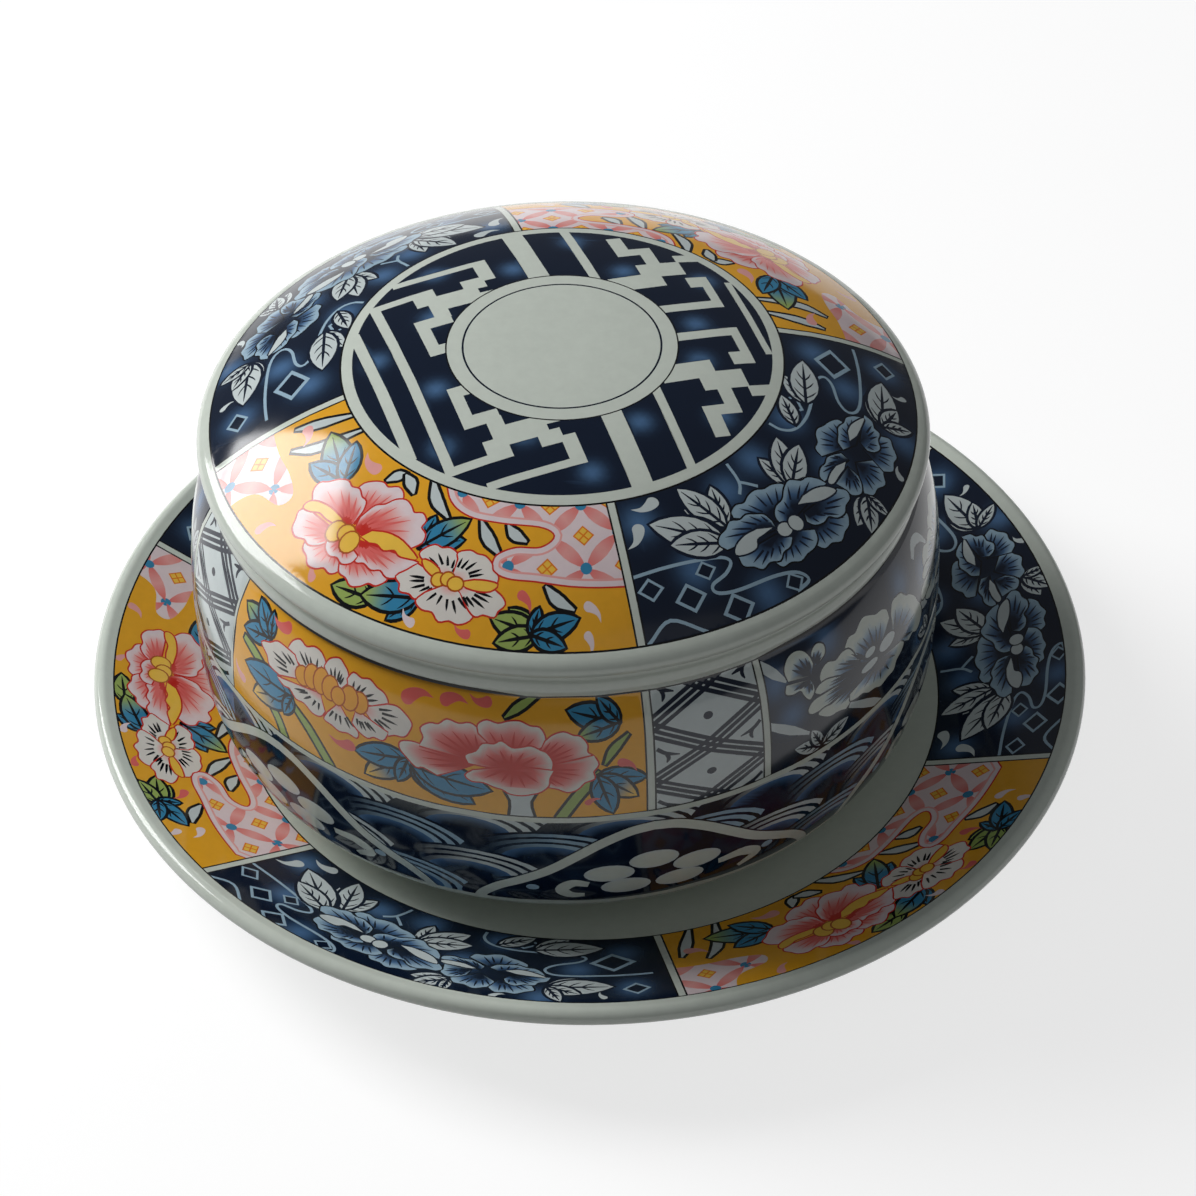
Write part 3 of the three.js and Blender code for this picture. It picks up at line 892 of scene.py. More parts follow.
def blue_peonies(canvas, panel, within):
    """Two peonies in shades of blue with pale edges."""
    flower(canvas, panel, SLIM_PEONY, BLUE_STYLE, within)
    flower(canvas, panel, SLIM_TONGUES, PALE_STYLE, within)
    flower(canvas, panel, WIDE_PEONY, BLUE_STYLE, within)
    flower(canvas, panel, WIDE_TONGUES, PALE_STYLE, within)
    buds(canvas, panel, WIDE_BUDS, PALE, NAVY, within)


def leaf(canvas, base, tip, width, fill, line, within, veins):
    """A pointed leaf with a middle rib and side veins."""
    base = np.asarray(base, float)
    way = np.asarray(tip, float) - base
    side = np.array((-way[1], way[0])) / np.linalg.norm(way) * width
    right = bezier([base, base + 0.3 * way - side, base + 0.75 * way - 0.6 * side, base + way], 7)
    left = bezier([base + way, base + 0.75 * way + 0.6 * side, base + 0.3 * way + side, base], 7)
    outlined(canvas, np.vstack([right[:-1], left[:-1]]), fill, line, within, BOLD)
    canvas.add(brush([base, base + 0.5 * way, base + 0.92 * way], BOLD, (1, 0.2), 3), line, within)
    for number in range(veins):
        root = base + way * (0.12 + 0.6 * number / veins)
        for hand in (-1, 1):
            end = root + 0.2 * way + hand * side * (0.5 - 0.1 * number)
            bend = 0.5 * (root + end) + 0.05 * hand * side
            canvas.add(brush([root, bend, end], LINE, (1, 0.2), 2), line, within)


def spray(canvas, panel, base, tips, line, within, veins=2, width=0.36):
    """Leaves that spread from one point, each with its tip and its colours at the base and at the tip."""
    root = panel.at(base)[0]
    for tip, (fill, tip_fill) in tips:
        end = panel.at(tip)[0]
        shade = along(root, end, ((0.5, fill), (0.9, tip_fill)))
        leaf(canvas, root, end, width * np.linalg.norm(end - root), shade, line, within, veins)


def white_spray(canvas, panel, base, tips, within):
    spray(canvas, panel, base, [(tip, WHITE_LEAF) for tip in tips], NAVY, within, 3)


def blade(canvas, panel, points, width, fill, line, within, ends=(0.15, 0.15)):
    """A slim blade of grass or a stem, with an outline."""
    outlined(canvas, brush(panel.at(points), width, ends), fill, line, within, BOLD)


def comma(canvas, panel, place, length, colour, turn, within):
    """A drop with a curled tail."""
    spot = panel.spot(place, turn)
    canvas.add(spot.out(smooth(np.array(COMMA) * length, 3)[:-1]), colour, within)


def thread(canvas, panel, points, width, colour, within):
    """A thin line of even width."""
    canvas.add(brush(panel.at(smooth(points)), width, (1, 1), 1), colour, within)


def lozenge(canvas, panel, place, size, within):
    """A hollow square that stands on its corner, in pale lines."""
    spot = panel.spot(place)
    for share, colour in ((1.0, SKY), (0.72, NAVY)):
        canvas.add(spot.out(diamond((0, 0), size * share, 0.8 * size * share)), colour, within)


def brocade_cell(canvas, panel, centre, within):
    """One cell of the brocade: pink pointed ovals on the diagonals, orange squares and a blue dot."""
    cell = np.array(CLOUD_CELL)
    for half in ((0.5, 0.5), (-0.5, 0.5), (0.5, -0.5), (-0.5, -0.5)):
        reach = np.array(half) * cell
        start = panel.at(centre)[0]
        end = panel.at(centre + 0.96 * reach)[0]
        shade = along(start, end, ((0, ROSE), (0.5, PINK), (1, ROSE)))
        canvas.add(lens(start, end, BROCADE_LENS), shade, within)
    for shift in ((0.5, 0), (0, 0.5)):
        spot = panel.spot(centre + np.array(shift) * cell)
        canvas.add(spot.out(diamond((0, 0), BROCADE_SQUARE, BROCADE_SQUARE)), ORANGE, within)
        for quarter in range(4):
            square = diamond(BROCADE_QUARTER_PLACE, BROCADE_QUARTER, BROCADE_QUARTER)
            square = Spot((0, 0), quarter * math.pi / 2).out(square)
            canvas.add(spot.out(square), GOLD, within)
    for shift in (0, 0.5):
        dot = oval((0, 0), BROCADE_DOT, BROCADE_DOT, 12)
        canvas.add(panel.spot(centre + shift * cell).out(dot), LEAF_BLUE, within)


def brocade_cloud(canvas, panel, edge, within):
    """A cloud of white brocade edged in pink; the edge runs against the clock on the panel."""
    outline = panel.at(edge)
    band = canvas.add(outline, RED, within)
    for inset, colour in CLOUD_EDGES:
        canvas.add(grow(outline, -inset), colour, band)
    patch = canvas.add(grow(outline, -CLOUD_INSET), BLUSH, band)
    low = edge.min(axis=0)
    high = edge.max(axis=0)
    for column in range(CLOUD_COUNT[0]):
        for row in range(CLOUD_COUNT[1]):
            centre = np.array(CLOUD_START) + np.array((column, row)) * CLOUD_CELL
            if np.all(centre > low - CLOUD_CELL) and np.all(centre < high + CLOUD_CELL):
                brocade_cell(canvas, panel, centre, patch)


def yellow_ring_panel(canvas, panel):
    """Peony, white flower, leaves and brocade clouds on yellow."""
    ground = canvas.add(panel.outline(), YELLOW)
    for points in YELLOW_BLADES:
        blade(canvas, panel, points, BLADE_WIDTH, PALE, BLACK, ground)
    length = (panel.end - panel.start) * panel.middle
    right_cloud = np.vstack([smooth(CLOUD_RIGHT), [(length + 4, 12.0), (length + 4, -3), (50, -3)]])
    left_cloud = np.vstack([smooth(CLOUD_LEFT), [(-4, 29), (-4, 16)]])
    brocade_cloud(canvas, panel, right_cloud, ground)
    brocade_cloud(canvas, panel, left_cloud, ground)
    for base, tips in YELLOW_LEAVES:
        spray(canvas, panel, base, tips, BLACK, ground)
    for place, size, colour, turn in YELLOW_COMMAS:
        comma(canvas, panel, place, size, colour, turn, ground)
    pink_peony(canvas, panel, ground)
    white_flower(canvas, panel, ground)


def navy_ring_panel(canvas, panel):
    """Blue peonies and white leaves on navy, with thin cloud lines and lozenges."""
    places = [panel.at(place)[0] for place in NAVY_GLOWS]
    ground = canvas.add(panel.outline(), glows(NAVY, COBALT, places, PANEL_GLOW))
    for points in NAVY_THREADS:
        thread(canvas, panel, points, THREAD_WIDTH, SKY, ground)
    for place, size in NAVY_LOZENGES:
        lozenge(canvas, panel, place, size, ground)
    for base, tips in NAVY_LEAVES:
        white_spray(canvas, panel, base, tips, ground)
    for place, size, turn in NAVY_COMMAS:
        comma(canvas, panel, place, size, PALE, turn, ground)
    blue_peonies(canvas, panel, ground)


def divider(canvas, start, end):
    for width, colour in DIVIDER:
        canvas.add(brush([start, end], width, (1, 1), 1), colour)


def turned_point(radius, angle):
    return radius * np.array((math.cos(math.radians(angle)), math.sin(math.radians(angle))))


def fret_ring(canvas):
    """A stepped key fret in white on navy, with two mirrored sides."""
    places = [turned_point(radius, angle) for radius, angle in FRET_GLOWS]
    ground = canvas.add(disc(LID_FRET), glows(NAVY, COBALT, places, FRET_GLOW))
    spot = Spot((0, 0), FRET_TURN)
    for side in (1, -1):
        for bar in FRET_BARS:
            canvas.add(spot.out(box(*bar) * (side, 1)), GLAZE, ground)


def paint_lid():
    canvas = Canvas(disc(LID_PAINT_EDGE))
    canvas.add(disc(LID_BORDER + LINE), BLACK)
    for (start, end), draw in zip(LID_PANELS, (yellow_ring_panel, navy_ring_panel) * 2):
        draw(canvas, RingPanel(start, end, LID_RING, LID_BORDER, LID_PANEL_MIDDLE))
    for start, _ in LID_PANELS:
        divider(canvas, turned_point(LID_RING - 1, start), turned_point(LID_BORDER, start))
    canvas.add(disc(LID_RING), BLACK)
    canvas.add(disc(LID_RING - 1.2 * LINE), GLAZE)
    fret_ring(canvas)
    for radius, colour in LID_MIDDLE_RINGS:
        canvas.add(disc(radius), colour)
    return canvas


def paint_plate():
    canvas = Canvas(disc(PLATE_PAINT_EDGES[1]), disc(PLATE_PAINT_EDGES[0]))
    canvas.add(disc(PLATE_BORDER + LINE), BLACK)
    starts = [PLATE_PANEL_START + PLATE_PANEL_TURN * number for number in range(6)]
    for start, draw in zip(starts, (yellow_ring_panel, navy_ring_panel) * 3):
        draw(canvas, RingPanel(start, start + PLATE_PANEL_TURN, PLATE_RING, PLATE_BORDER, PLATE_PANEL_MIDDLE))
    for start in starts:
        divider(canvas, turned_point(PLATE_RING - 0.5, start), turned_point(PLATE_BORDER, start))
    canvas.add(disc(PLATE_RING), BLACK)
    canvas.add(disc(PLATE_RING - LINE), GLAZE)
    return canvas


def yellow_band_panel(canvas, panel):
    """White flower, pink peony and leaves on yellow, round the bowl."""
    ground = canvas.add(panel.outline(), YELLOW)
    for points in BAND_STEMS:
        blade(canvas, panel, points, STEM_WIDTH, LEAF_GREEN, BLACK, ground, STEM_ENDS)
    blade(canvas, panel, BAND_CALYX, CALYX_WIDTH, PALE, BLACK, ground, CALYX_ENDS)
    for base, tips in BAND_LEAVES:
        spray(canvas, panel, base, tips, BLACK, ground)
    for points in BAND_BLADES:
        blade(canvas, panel, points, GRASS_WIDTH, LEAF_GREEN, BLACK, ground)
    for place, size, colour, turn in BAND_COMMAS:
        comma(canvas, panel, place, size, colour, turn, ground)
    flower(canvas, panel, BAND_WHITE_FLOWER, WHITE_STYLE, ground)
    buds(canvas, panel, BAND_WHITE_BUDS, AMBER, RUST, ground)
    flower(canvas, panel, BAND_PINK_PEONY, RED_STYLE, ground)


def navy_band_panel(canvas, panel):
    """White peonies shaded with blue, and white stems on navy, round the bowl."""
    places = [panel.at(place)[0] for place in BAND_GLOWS]
    ground = canvas.add(panel.outline(), glows(NAVY, COBALT, places, PANEL_GLOW))
    for points in BAND_WHITE_STEMS:
        canvas.add(brush(panel.at(points), WHITE_STEM_WIDTH, WHITE_STEM_ENDS), PALE, ground)
    for base, tips in BAND_WHITE_LEAVES:
        white_spray(canvas, panel, base, tips, ground)
    flower(canvas, panel, BAND_SMALL_FLOWER, SNOW_STYLE, ground)
    left, right, low, high = panel.sides
    for part in (BandPanel(left + BAND_BLUE_STEP, right, low, high), panel):
        flower(canvas, part, BAND_BLUE_PEONY, SNOW_STYLE, ground)
        buds(canvas, part, BAND_BLUE_BUDS, PALE, NAVY, ground)


def lattice_panel(canvas, panel):
    """A white strip with bands of navy lines that cross, dots and twigs."""
    ground = canvas.add(panel.outline(), PALE)
    left, right, low, high = panel.sides
    middle = (left + right) / 2
    for number in range(-1, 4):
        height = low + LATTICE_START + number * LATTICE_STEP
        for hand in (-1, 1):
            reach = np.array((LATTICE_REACH, hand * LATTICE_SLOPE * LATTICE_REACH))
            for shift in LATTICE_SHIFTS:
                centre = np.array((middle, height + shift))
                canvas.add(brush([centre - reach, centre + reach], LATTICE_LINE, (1, 1), 1), NAVY, ground)
            for twig in (TWIG, TWIG_SIDE):
                path = np.array(twig) * (hand, 1) + (middle, height)
                canvas.add(brush(path, LATTICE_LINE, (1, 0.3), 3), NAVY, ground)
    for height in LATTICE_DOTS:
        canvas.add(oval((middle, low + height), *LATTICE_DOT_SIZE, 12), NAVY, ground)


BAND_DRAWINGS = (yellow_band_panel, lattice_panel, navy_band_panel, lattice_panel)


def wave_band(canvas, left, right):
    """Overlapping wave crests, dark on one side and ringed on the other, from the back row to the front."""
    low, high = WAVE_BAND
    ground = canvas.add(box(left - 5, right + 5, low, high), PALE)
    pitch = (right - left) / WAVE_COUNT
    for row in range(WAVE_ROWS):
        height = high - WAVE_TOP - row * WAVE_ROW_STEP
        light = WAVE_LIGHTS[row % 2]
        for number in range(WAVE_COUNT):
            centre = np.array((left + pitch * (number + 0.5 * (row % 2)), height))
            reach = np.array((WAVE_SIZE[0], 0))
            dark_side, light_side = WAVE_DARK_SIDE
            shade = along(centre - reach, centre + reach, ((dark_side, NAVY), (light_side, light)))
            for share in WAVE_RINGS:
                canvas.add(oval(centre, *(WAVE_SIZE * share), 26), NAVY, ground)
                canvas.add(oval(centre, *(WAVE_SIZE * (share - WAVE_LINE)), 26), shade, ground)
            heart = Spot(centre).fade(WAVE_STOPS, WAVE_SIZE)
            canvas.add(oval(centre, *(WAVE_SIZE * WAVE_HEART), 22), heart, ground)
    return ground


def cartouche(canvas, middle, within):
    """A navy arch with a white edge, a five-petalled blossom, two curls and two dots."""
    low = WAVE_BAND[0]
    right = smooth(ARCH)
    edge = np.vstack([right, (right * (-1, 1))[::-1][1:]]) + (middle, low)
    way = np.gradient(edge, axis=0)
    way /= np.linalg.norm(way, axis=1)[:, None]
    inwards = np.column_stack([-way[:, 1], way[:, 0]])
    canvas.add(edge - LINE * inwards, NAVY, within)
    canvas.add(edge, GLAZE, within)
    inside = canvas.add(edge + ARCH_LINE * inwards, NAVY, within)
    spot = Spot((middle, low + BLOSSOM_HEIGHT))
    for number in range(5):
        angle = math.radians(90 + 72 * number)
        centre = spot.out((BLOSSOM_SIZE[0] * math.cos(angle), BLOSSOM_SIZE[1] * math.sin(angle)))
        fill = Spot(centre).fade(((0.8, GLAZE), (1.0, PALE)), PETAL_SIZE)
        canvas.add(oval(centre, *PETAL_SIZE), fill, inside)
    for curl in (CURL_LEFT, CURL_RIGHT):
        canvas.add(brush(spot.out(curl), CURL_WIDTH, CURL_ENDS), GLAZE, inside)
    for place in CURL_DOTS:
        canvas.add(oval(spot.out(place), *CURL_DOT_SIZE, 12), SKY, inside)


def paint_bowl():
    """The sheet round the bowl, as length round it at the band's radius and height."""
    degree = math.radians(1) * BAND_RADIUS
    left = BAND_START * degree
    right = left + 360 * degree
    low, high = BOWL_PAINT_EDGES
    across = np.linspace(left, right, RING_SIDES + 1)
    lower_edge = np.column_stack([across, np.full(RING_SIDES + 1, low)])
    upper_edge = np.column_stack([across[::-1], np.full(RING_SIDES + 1, high)])
    canvas = Canvas(np.vstack([lower_edge, upper_edge]), ends=(left, right))
    waves = wave_band(canvas, left, right)
    for number in range(-1, 5):
        cartouche(canvas, (ARCH_START + ARCH_TURN * number) * degree, waves)
    panel_low, panel_high = PANEL_BAND
    canvas.add(box(left - 5, right + 5, panel_low - LINE, panel_high + 1.4 * LINE), BLACK)
    for half in (0, 180):
        for (start, end), draw in zip(BAND_PANELS, BAND_DRAWINGS):
            draw(canvas, BandPanel((start + half) * degree, (end + half) * degree, panel_low, panel_high))
        for start, _ in BAND_PANELS:
            place = (start + half) * degree
            divider(canvas, (place, panel_low), (place, panel_high))
    return canvas


# Turned forms: profiles are arrays of radius and height
def foot_ring(radii, bottom, top):
    """A ring that points down, from its outer wall to its inner wall, with rounded edges."""
    inner, outer = radii
    return np.vstack([
        bezier([(outer, bottom + EDGE_ROUND), (outer, bottom), (outer - EDGE_ROUND, bottom)], EDGE_STEPS),
        bezier([(inner + EDGE_ROUND, bottom), (inner, bottom), (inner, bottom + EDGE_ROUND)], EDGE_STEPS),
        [(inner, top)],
    ])


def dome(first, last, depth, steps):
    """The lid's dome between two radii, at a depth below its outer face."""
    radius = np.linspace(first, last, steps + 1)
    return np.column_stack([radius, LID_TOP - depth - DOME_RISE * (radius / DOME_RADIUS) ** DOME_POWER])


def lid_profile():
    """The lid's outer face from the middle over the bead, and the way on to the middle of its ceiling."""
    bead = bezier([
        (DOME_RADIUS, BEAD_TOP),
        (BEAD_REACH, BEAD_TOP - BEAD_SHOULDER),
        (BEAD_REACH, LID_SEAT + BEAD_SHOULDER),
        (BEAD_FOOT_RADIUS, LID_SEAT),
    ], BEAD_STEPS)
    split = np.argmax(bead[:, 0] >= LID_PAINT_EDGE)
    share = (LID_PAINT_EDGE - bead[split - 1, 0]) / (bead[split, 0] - bead[split - 1, 0])
    edge = bead[split - 1] + share * (bead[split] - bead[split - 1])
    face = np.vstack([dome(0, DOME_RADIUS, 0, DOME_STEPS), bead[1:split], edge])
    ring = foot_ring(FLANGE, FLANGE_BOTTOM, LID_SEAT)[:-1]
    ceiling = dome(FLANGE[0], 0, LID_WALL, INSIDE_STEPS)
    wall = np.vstack([edge, bead[split::2], [(FLANGE[1], LID_SEAT)], ring, ceiling])
    return face, wall


def bowl_profile():
    """The bowl's outer face from its foot to its collar, the way up and in, and the way down and under."""
    def between(first, last, share):
        return first + (last - first) * share
    spread = between(BOWL_FOOT[1], BELLY_RADIUS, BASE_SPREAD)
    lift = between(BOWL_RECESS, BELLY, BASE_LIFT)
    floor_lift = between(BOWL_FLOOR, BELLY, FLOOR_LIFT)
    rise = between(BELLY, COLLAR, SHOULDER_RISE)
    turn = between(BELLY, COLLAR, SHOULDER_TURN)
    inside = BELLY_RADIUS - BOWL_WALL
    mouth = COLLAR_RADIUS - BOWL_WALL
    belly = (BELLY_RADIUS, BELLY)
    foot = (BOWL_FOOT[1], BOWL_RECESS)
    base = bezier([foot, (spread, BOWL_RECESS), (BELLY_RADIUS, lift), belly], FACE_STEPS)
    eased = (BELLY_RADIUS - SHOULDER_EASE, turn)
    shoulder = bezier([belly, (BELLY_RADIUS, rise), eased, (COLLAR_RADIUS, COLLAR)], FACE_STEPS)
    collar = bezier([(COLLAR_RADIUS, COLLAR), (COLLAR_RADIUS + COLLAR_BULGE, COLLAR_MIDDLE),
                     (COLLAR_RADIUS, BOWL_RIM - RIM_ROUND)], COLLAR_STEPS)
    face = np.vstack([base, shoulder[1:], collar[1:]])
    low, high = BOWL_PAINT_EDGES
    low_edge, high_edge = ((np.interp(height, face[:, 1], face[:, 0]), height) for height in (low, high))
    upwards = np.vstack([
        [high_edge], collar[collar[:, 1] > high + EDGE_MARGIN],
        bezier([collar[-1], (COLLAR_RADIUS, BOWL_RIM), (COLLAR_RADIUS - RIM_ROUND, BOWL_RIM)], RIM_STEPS)[1:],
        bezier([(mouth + RIM_ROUND, BOWL_RIM), (mouth, BOWL_RIM), (mouth, BOWL_RIM - RIM_ROUND)], RIM_STEPS),
        bezier([(mouth, COLLAR), (inside - SHOULDER_EASE, turn), (inside, rise), (inside, BELLY)]),
        bezier(
            [(inside, BELLY), (inside, floor_lift), (spread, BOWL_FLOOR), (BOWL_FOOT[1], BOWL_FLOOR)],
            INSIDE_STEPS,
        )[1:],
        [(BOWL_FLOOR_RING, BOWL_FLOOR), (0.0, BOWL_FLOOR)],
    ])
    downwards = np.vstack([
        [low_edge], base[base[:, 1] < low - EDGE_MARGIN][::-3],
        [foot],
        foot_ring(BOWL_FOOT, BOWL_BOTTOM, BOWL_RECESS),
        [(BOWL_RECESS_RING, BOWL_RECESS), (0.0, BOWL_RECESS)],
    ])
    keep = np.append(True, np.linalg.norm(np.diff(downwards, axis=0), axis=1) > 1e-6)
    return face, upwards, downwards[keep]


def plate_profile():
    """The plate's upper face from its middle to its lip, the way over and under, and the way inwards."""
    lip = np.array((PLATE_RADIUS - LIP_RADIUS, WELL_FLOOR + PLATE_DEPTH))
    well_edge = np.array((WELL_RADIUS, WELL_FLOOR))
    to_lip = lip - well_edge
    slope = math.atan2(to_lip[1], to_lip[0]) + math.asin(LIP_RADIUS / np.linalg.norm(to_lip))
    way = np.array((math.cos(slope), math.sin(slope)))
    up = np.array((-way[1], way[0]))
    rim_start = well_edge + WELL_EASE * way
    ease = bezier([(WELL_RADIUS - WELL_EASE, WELL_FLOOR), well_edge, rim_start], EASE_STEPS)
    rim_end = lip + LIP_RADIUS * up
    face = np.vstack([[(0.0, WELL_FLOOR)], ease, [rim_end]])
    inner, outer = PLATE_PAINT_EDGES
    inner_edge, outer_edge = (
        (radius, np.interp(radius, face[:, 0], face[:, 1])) for radius in (inner, outer)
    )
    angle = np.linspace(slope + math.pi / 2, slope - math.pi / 2, LIP_STEPS)
    lip_round = lip + LIP_RADIUS * np.column_stack([np.cos(angle), np.sin(angle)])
    under = rim_start - 2 * LIP_RADIUS * up
    outwards = np.vstack([
        [outer_edge], lip_round,
        bezier(
            [under, (PLATE_FOOT[1], PLATE_RECESS), (PLATE_FOOT[1], PLATE_BOTTOM + EDGE_ROUND)], UNDER_STEPS,
        ),
        foot_ring(PLATE_FOOT, PLATE_BOTTOM, PLATE_RECESS)[1:],
        [(PLATE_RECESS_RING, PLATE_RECESS), (0.0, PLATE_RECESS)],
    ])
    inwards = np.vstack([
        [inner_edge], ease[ease[:, 0] < inner - EDGE_MARGIN][::-2],
        [(WELL_RING, WELL_FLOOR), (0.0, WELL_FLOOR)],
    ])
    return face, outwards, inwards


def crisp(profile):
    """The profile with close points beside each sharp corner, so that smooth shading stays sharp there."""
    kept = [profile[0]]
    for before, corner, after in zip(profile, profile[1:], profile[2:]):
        inwards = corner - before
        onwards = after - corner
        in_length = np.linalg.norm(inwards)
        on_length = np.linalg.norm(onwards)
        sharp = math.acos(np.clip(inwards @ onwards / (in_length * on_length), -1, 1)) > CRISP_BEND
        if sharp and in_length > 3 * CRISP:
            kept.append(corner - inwards / in_length * CRISP)
        kept.append(corner)
        if sharp and on_length > 3 * CRISP:
            kept.append(corner + onwards / on_length * CRISP)
    kept.append(profile[-1])
    return np.array(kept)


class Turned:
    """A painted body of revolution: a cut sheet laid on its face, and plain glazed walls that close it."""

    def __init__(self, points, normals, triangles, paint, places):
        self.points = points
        self.normals = normals
        self.faces = [tuple(triangle) for triangle in triangles.tolist()]
        self.colours = [paint.reshape(-1, 3)]
        self.places = [places.reshape(-1, 2)]
        self.materials = [0] * len(self.faces)

    def wall(self, loop, profile, inwards, span, bare=()):
        """Closes the body from an edge loop along a profile, with its part of the map and bare heights."""
        profile = crisp(profile)
        sides = len(loop)
        start = self.points[loop[0]]
        angle = math.atan2(start[1], start[0]) + np.arange(sides) * FULL_TURN / sides
        way = np.gradient(profile, axis=0)
        way /= np.linalg.norm(way, axis=1)[:, None]
        lean = np.column_stack([-way[:, 1], way[:, 0]]) * (-1 if inwards else 1)
        heights = np.linspace(span[0], span[1], len(profile))
        last = list(loop)
        for step in range(1, len(profile)):
            radius, height = profile[step]
            at_axis = radius < 1e-6
            turned = angle[:1] if at_axis else angle
            out = np.column_stack([np.cos(turned), np.sin(turned)])
            ring = np.column_stack([radius * out, np.full(len(out), height)])
            leans = np.column_stack([lean[step, 0] * out, np.full(len(out), lean[step, 1])])
            if at_axis:
                leans = np.array([(0, 0, math.copysign(1, lean[step, 1]))])
            count = len(self.points)
            self.points = np.vstack([self.points, ring])
            self.normals = np.vstack([self.normals, leans])
            rim = [count] * sides if at_axis else list(range(count, count + sides))
            for side in range(sides):
                ahead = (side + 1) % sides
                face = [last[side], rim[side], rim[ahead], last[ahead]]
                corners = [(side, 0), (side, 1), (side + 1, 1), (side + 1, 0)]
                if at_axis:
                    del face[2], corners[2]
                if inwards:
                    face.reverse()
                    corners.reverse()
                self.faces.append(tuple(face))
                places = [(across / sides, heights[step - 1 + up]) for across, up in corners]
                self.places.append(np.array(places))
                self.colours.append(np.tile(GLAZE, (len(face), 1)))
            last = rim
            flat = abs(height - profile[step - 1, 1]) < FLAT
            is_bare = flat and any(abs(height - level) < FLAT for level in bare)
            self.materials += [int(is_bare)] * sides

    def piece(self, name, axis, materials):
        """The finished object, in glazed and bare porcelain."""
        mesh = bpy.data.meshes.new(name)
        mesh.from_pydata(((self.points + (axis, 0, 0)) / METRE).tolist(), [], self.faces)
        for material in materials:
            mesh.materials.append(material)
        mesh.polygons.foreach_set("material_index", self.materials)
        paint = np.column_stack([np.vstack(self.colours), np.ones(len(mesh.loops))])
        colours = mesh.color_attributes.new("Paint", "FLOAT_COLOR", "CORNER")
        colours.data.foreach_set("color", paint.astype(np.float32).ravel())
        uv = mesh.uv_layers.new(name="OFBake")
        uv.data.foreach_set("uv", np.vstack(self.places).astype(np.float32).ravel())
        mesh.normals_split_custom_set_from_vertices(self.normals.tolist())
        made = bpy.data.objects.new(name, mesh)
        bpy.context.scene.collection.objects.link(made)
        return made


def lay(points, normals, triangles, paint, share, loops):
    """A body from a cut sheet without the points that no face uses, and its edge loops."""
    used, faces = np.unique(triangles, return_inverse=True)
    order = np.zeros(len(points), int)
    order[used] = np.arange(len(used))
    body = Turned(points[used], normals[used], faces.reshape(-1, 3), paint, share)
    return body, [order[loop].tolist() for loop in loops]


def lay_on_top(canvas, profile, reach, inside=0.0):
    """Lays a cut sheet on a face that looks up, whose height follows the radius."""
    grid = hex_grid(-reach, reach, -reach, reach)
    distance = np.hypot(grid[:, 0], grid[:, 1])
    grid = grid[(distance < reach - GRID_STEP / 2) & (distance > inside + GRID_STEP / 2)]
    places, triangles, paint, loops = canvas.cut(grid)
    radius = np.hypot(places[:, 0], places[:, 1])
    height = np.interp(radius, profile[:, 0], profile[:, 1])
    slope = np.interp(radius, profile[:, 0], np.gradient(profile[:, 1], profile[:, 0]))
    out = places / np.maximum(radius, 1e-9)[:, None]
    normals = np.column_stack([-slope[:, None] * out, np.ones(len(places))])
    normals /= np.linalg.norm(normals, axis=1)[:, None]
    share = 0.5 + places[triangles] / (MAP_ACROSS * reach)
    share[:, :, 1] = TOP_MAP[0] + (TOP_MAP[1] - TOP_MAP[0]) * share[:, :, 1]
    return lay(np.column_stack([places, height]), normals, triangles, paint, share, loops)


def lay_round(canvas, profile):
    """Wraps a cut sheet round a face whose radius follows the height, and joins its two ends."""
    low, high = BOWL_PAINT_EDGES
    left = math.radians(BAND_START) * BAND_RADIUS
    length = FULL_TURN * BAND_RADIUS
    margin = GRID_STEP / 2
    grid = hex_grid(left, left + length - margin, low, high - margin)
    places, triangles, paint, loops = canvas.cut(grid)
    ends = [np.flatnonzero(np.abs(places[:, 0] - edge) < 3 * CUT_TOLERANCE) for edge in (left, left + length)]
    first, last = (end[np.argsort(places[end, 1])] for end in ends)
    merged = np.arange(len(places))
    merged[last] = first
    thirds = np.floor(3 * (places[triangles].mean(axis=1)[:, 0] - left) / length).clip(0, 2)
    share = np.zeros((len(triangles), 3, 2))
    corners = places[triangles]
    across = 3 * (corners[:, :, 0] - left) / length - thirds[:, None]
    share[:, :, 0] = MAP_MARGIN + (1 - 2 * MAP_MARGIN) * across
    row = (TOP_MAP[1] - TOP_MAP[0]) / 3
    up = (corners[:, :, 1] - low) / (high - low)
    share[:, :, 1] = TOP_MAP[0] + row * (thirds[:, None] + MAP_MARGIN + (1 - 2 * MAP_MARGIN) * up)
    turn = places[:, 0] / BAND_RADIUS
    radius = np.interp(places[:, 1], profile[:, 1], profile[:, 0])
    out = np.column_stack([np.sin(turn), -np.cos(turn)])
    slope = np.interp(places[:, 1], profile[:, 1], np.gradient(profile[:, 0], profile[:, 1]))
    normals = np.column_stack([out, -slope])
    normals /= np.linalg.norm(normals, axis=1)[:, None]
    points = np.column_stack([radius[:, None] * out, places[:, 1]])
    edge = merged[loops[0]]
    lower = edge[:RING_SIDES]
    upper = edge[RING_SIDES + 1:][::-1][:RING_SIDES]
    return lay(points, normals, merged[triangles], paint, share, (lower, upper))


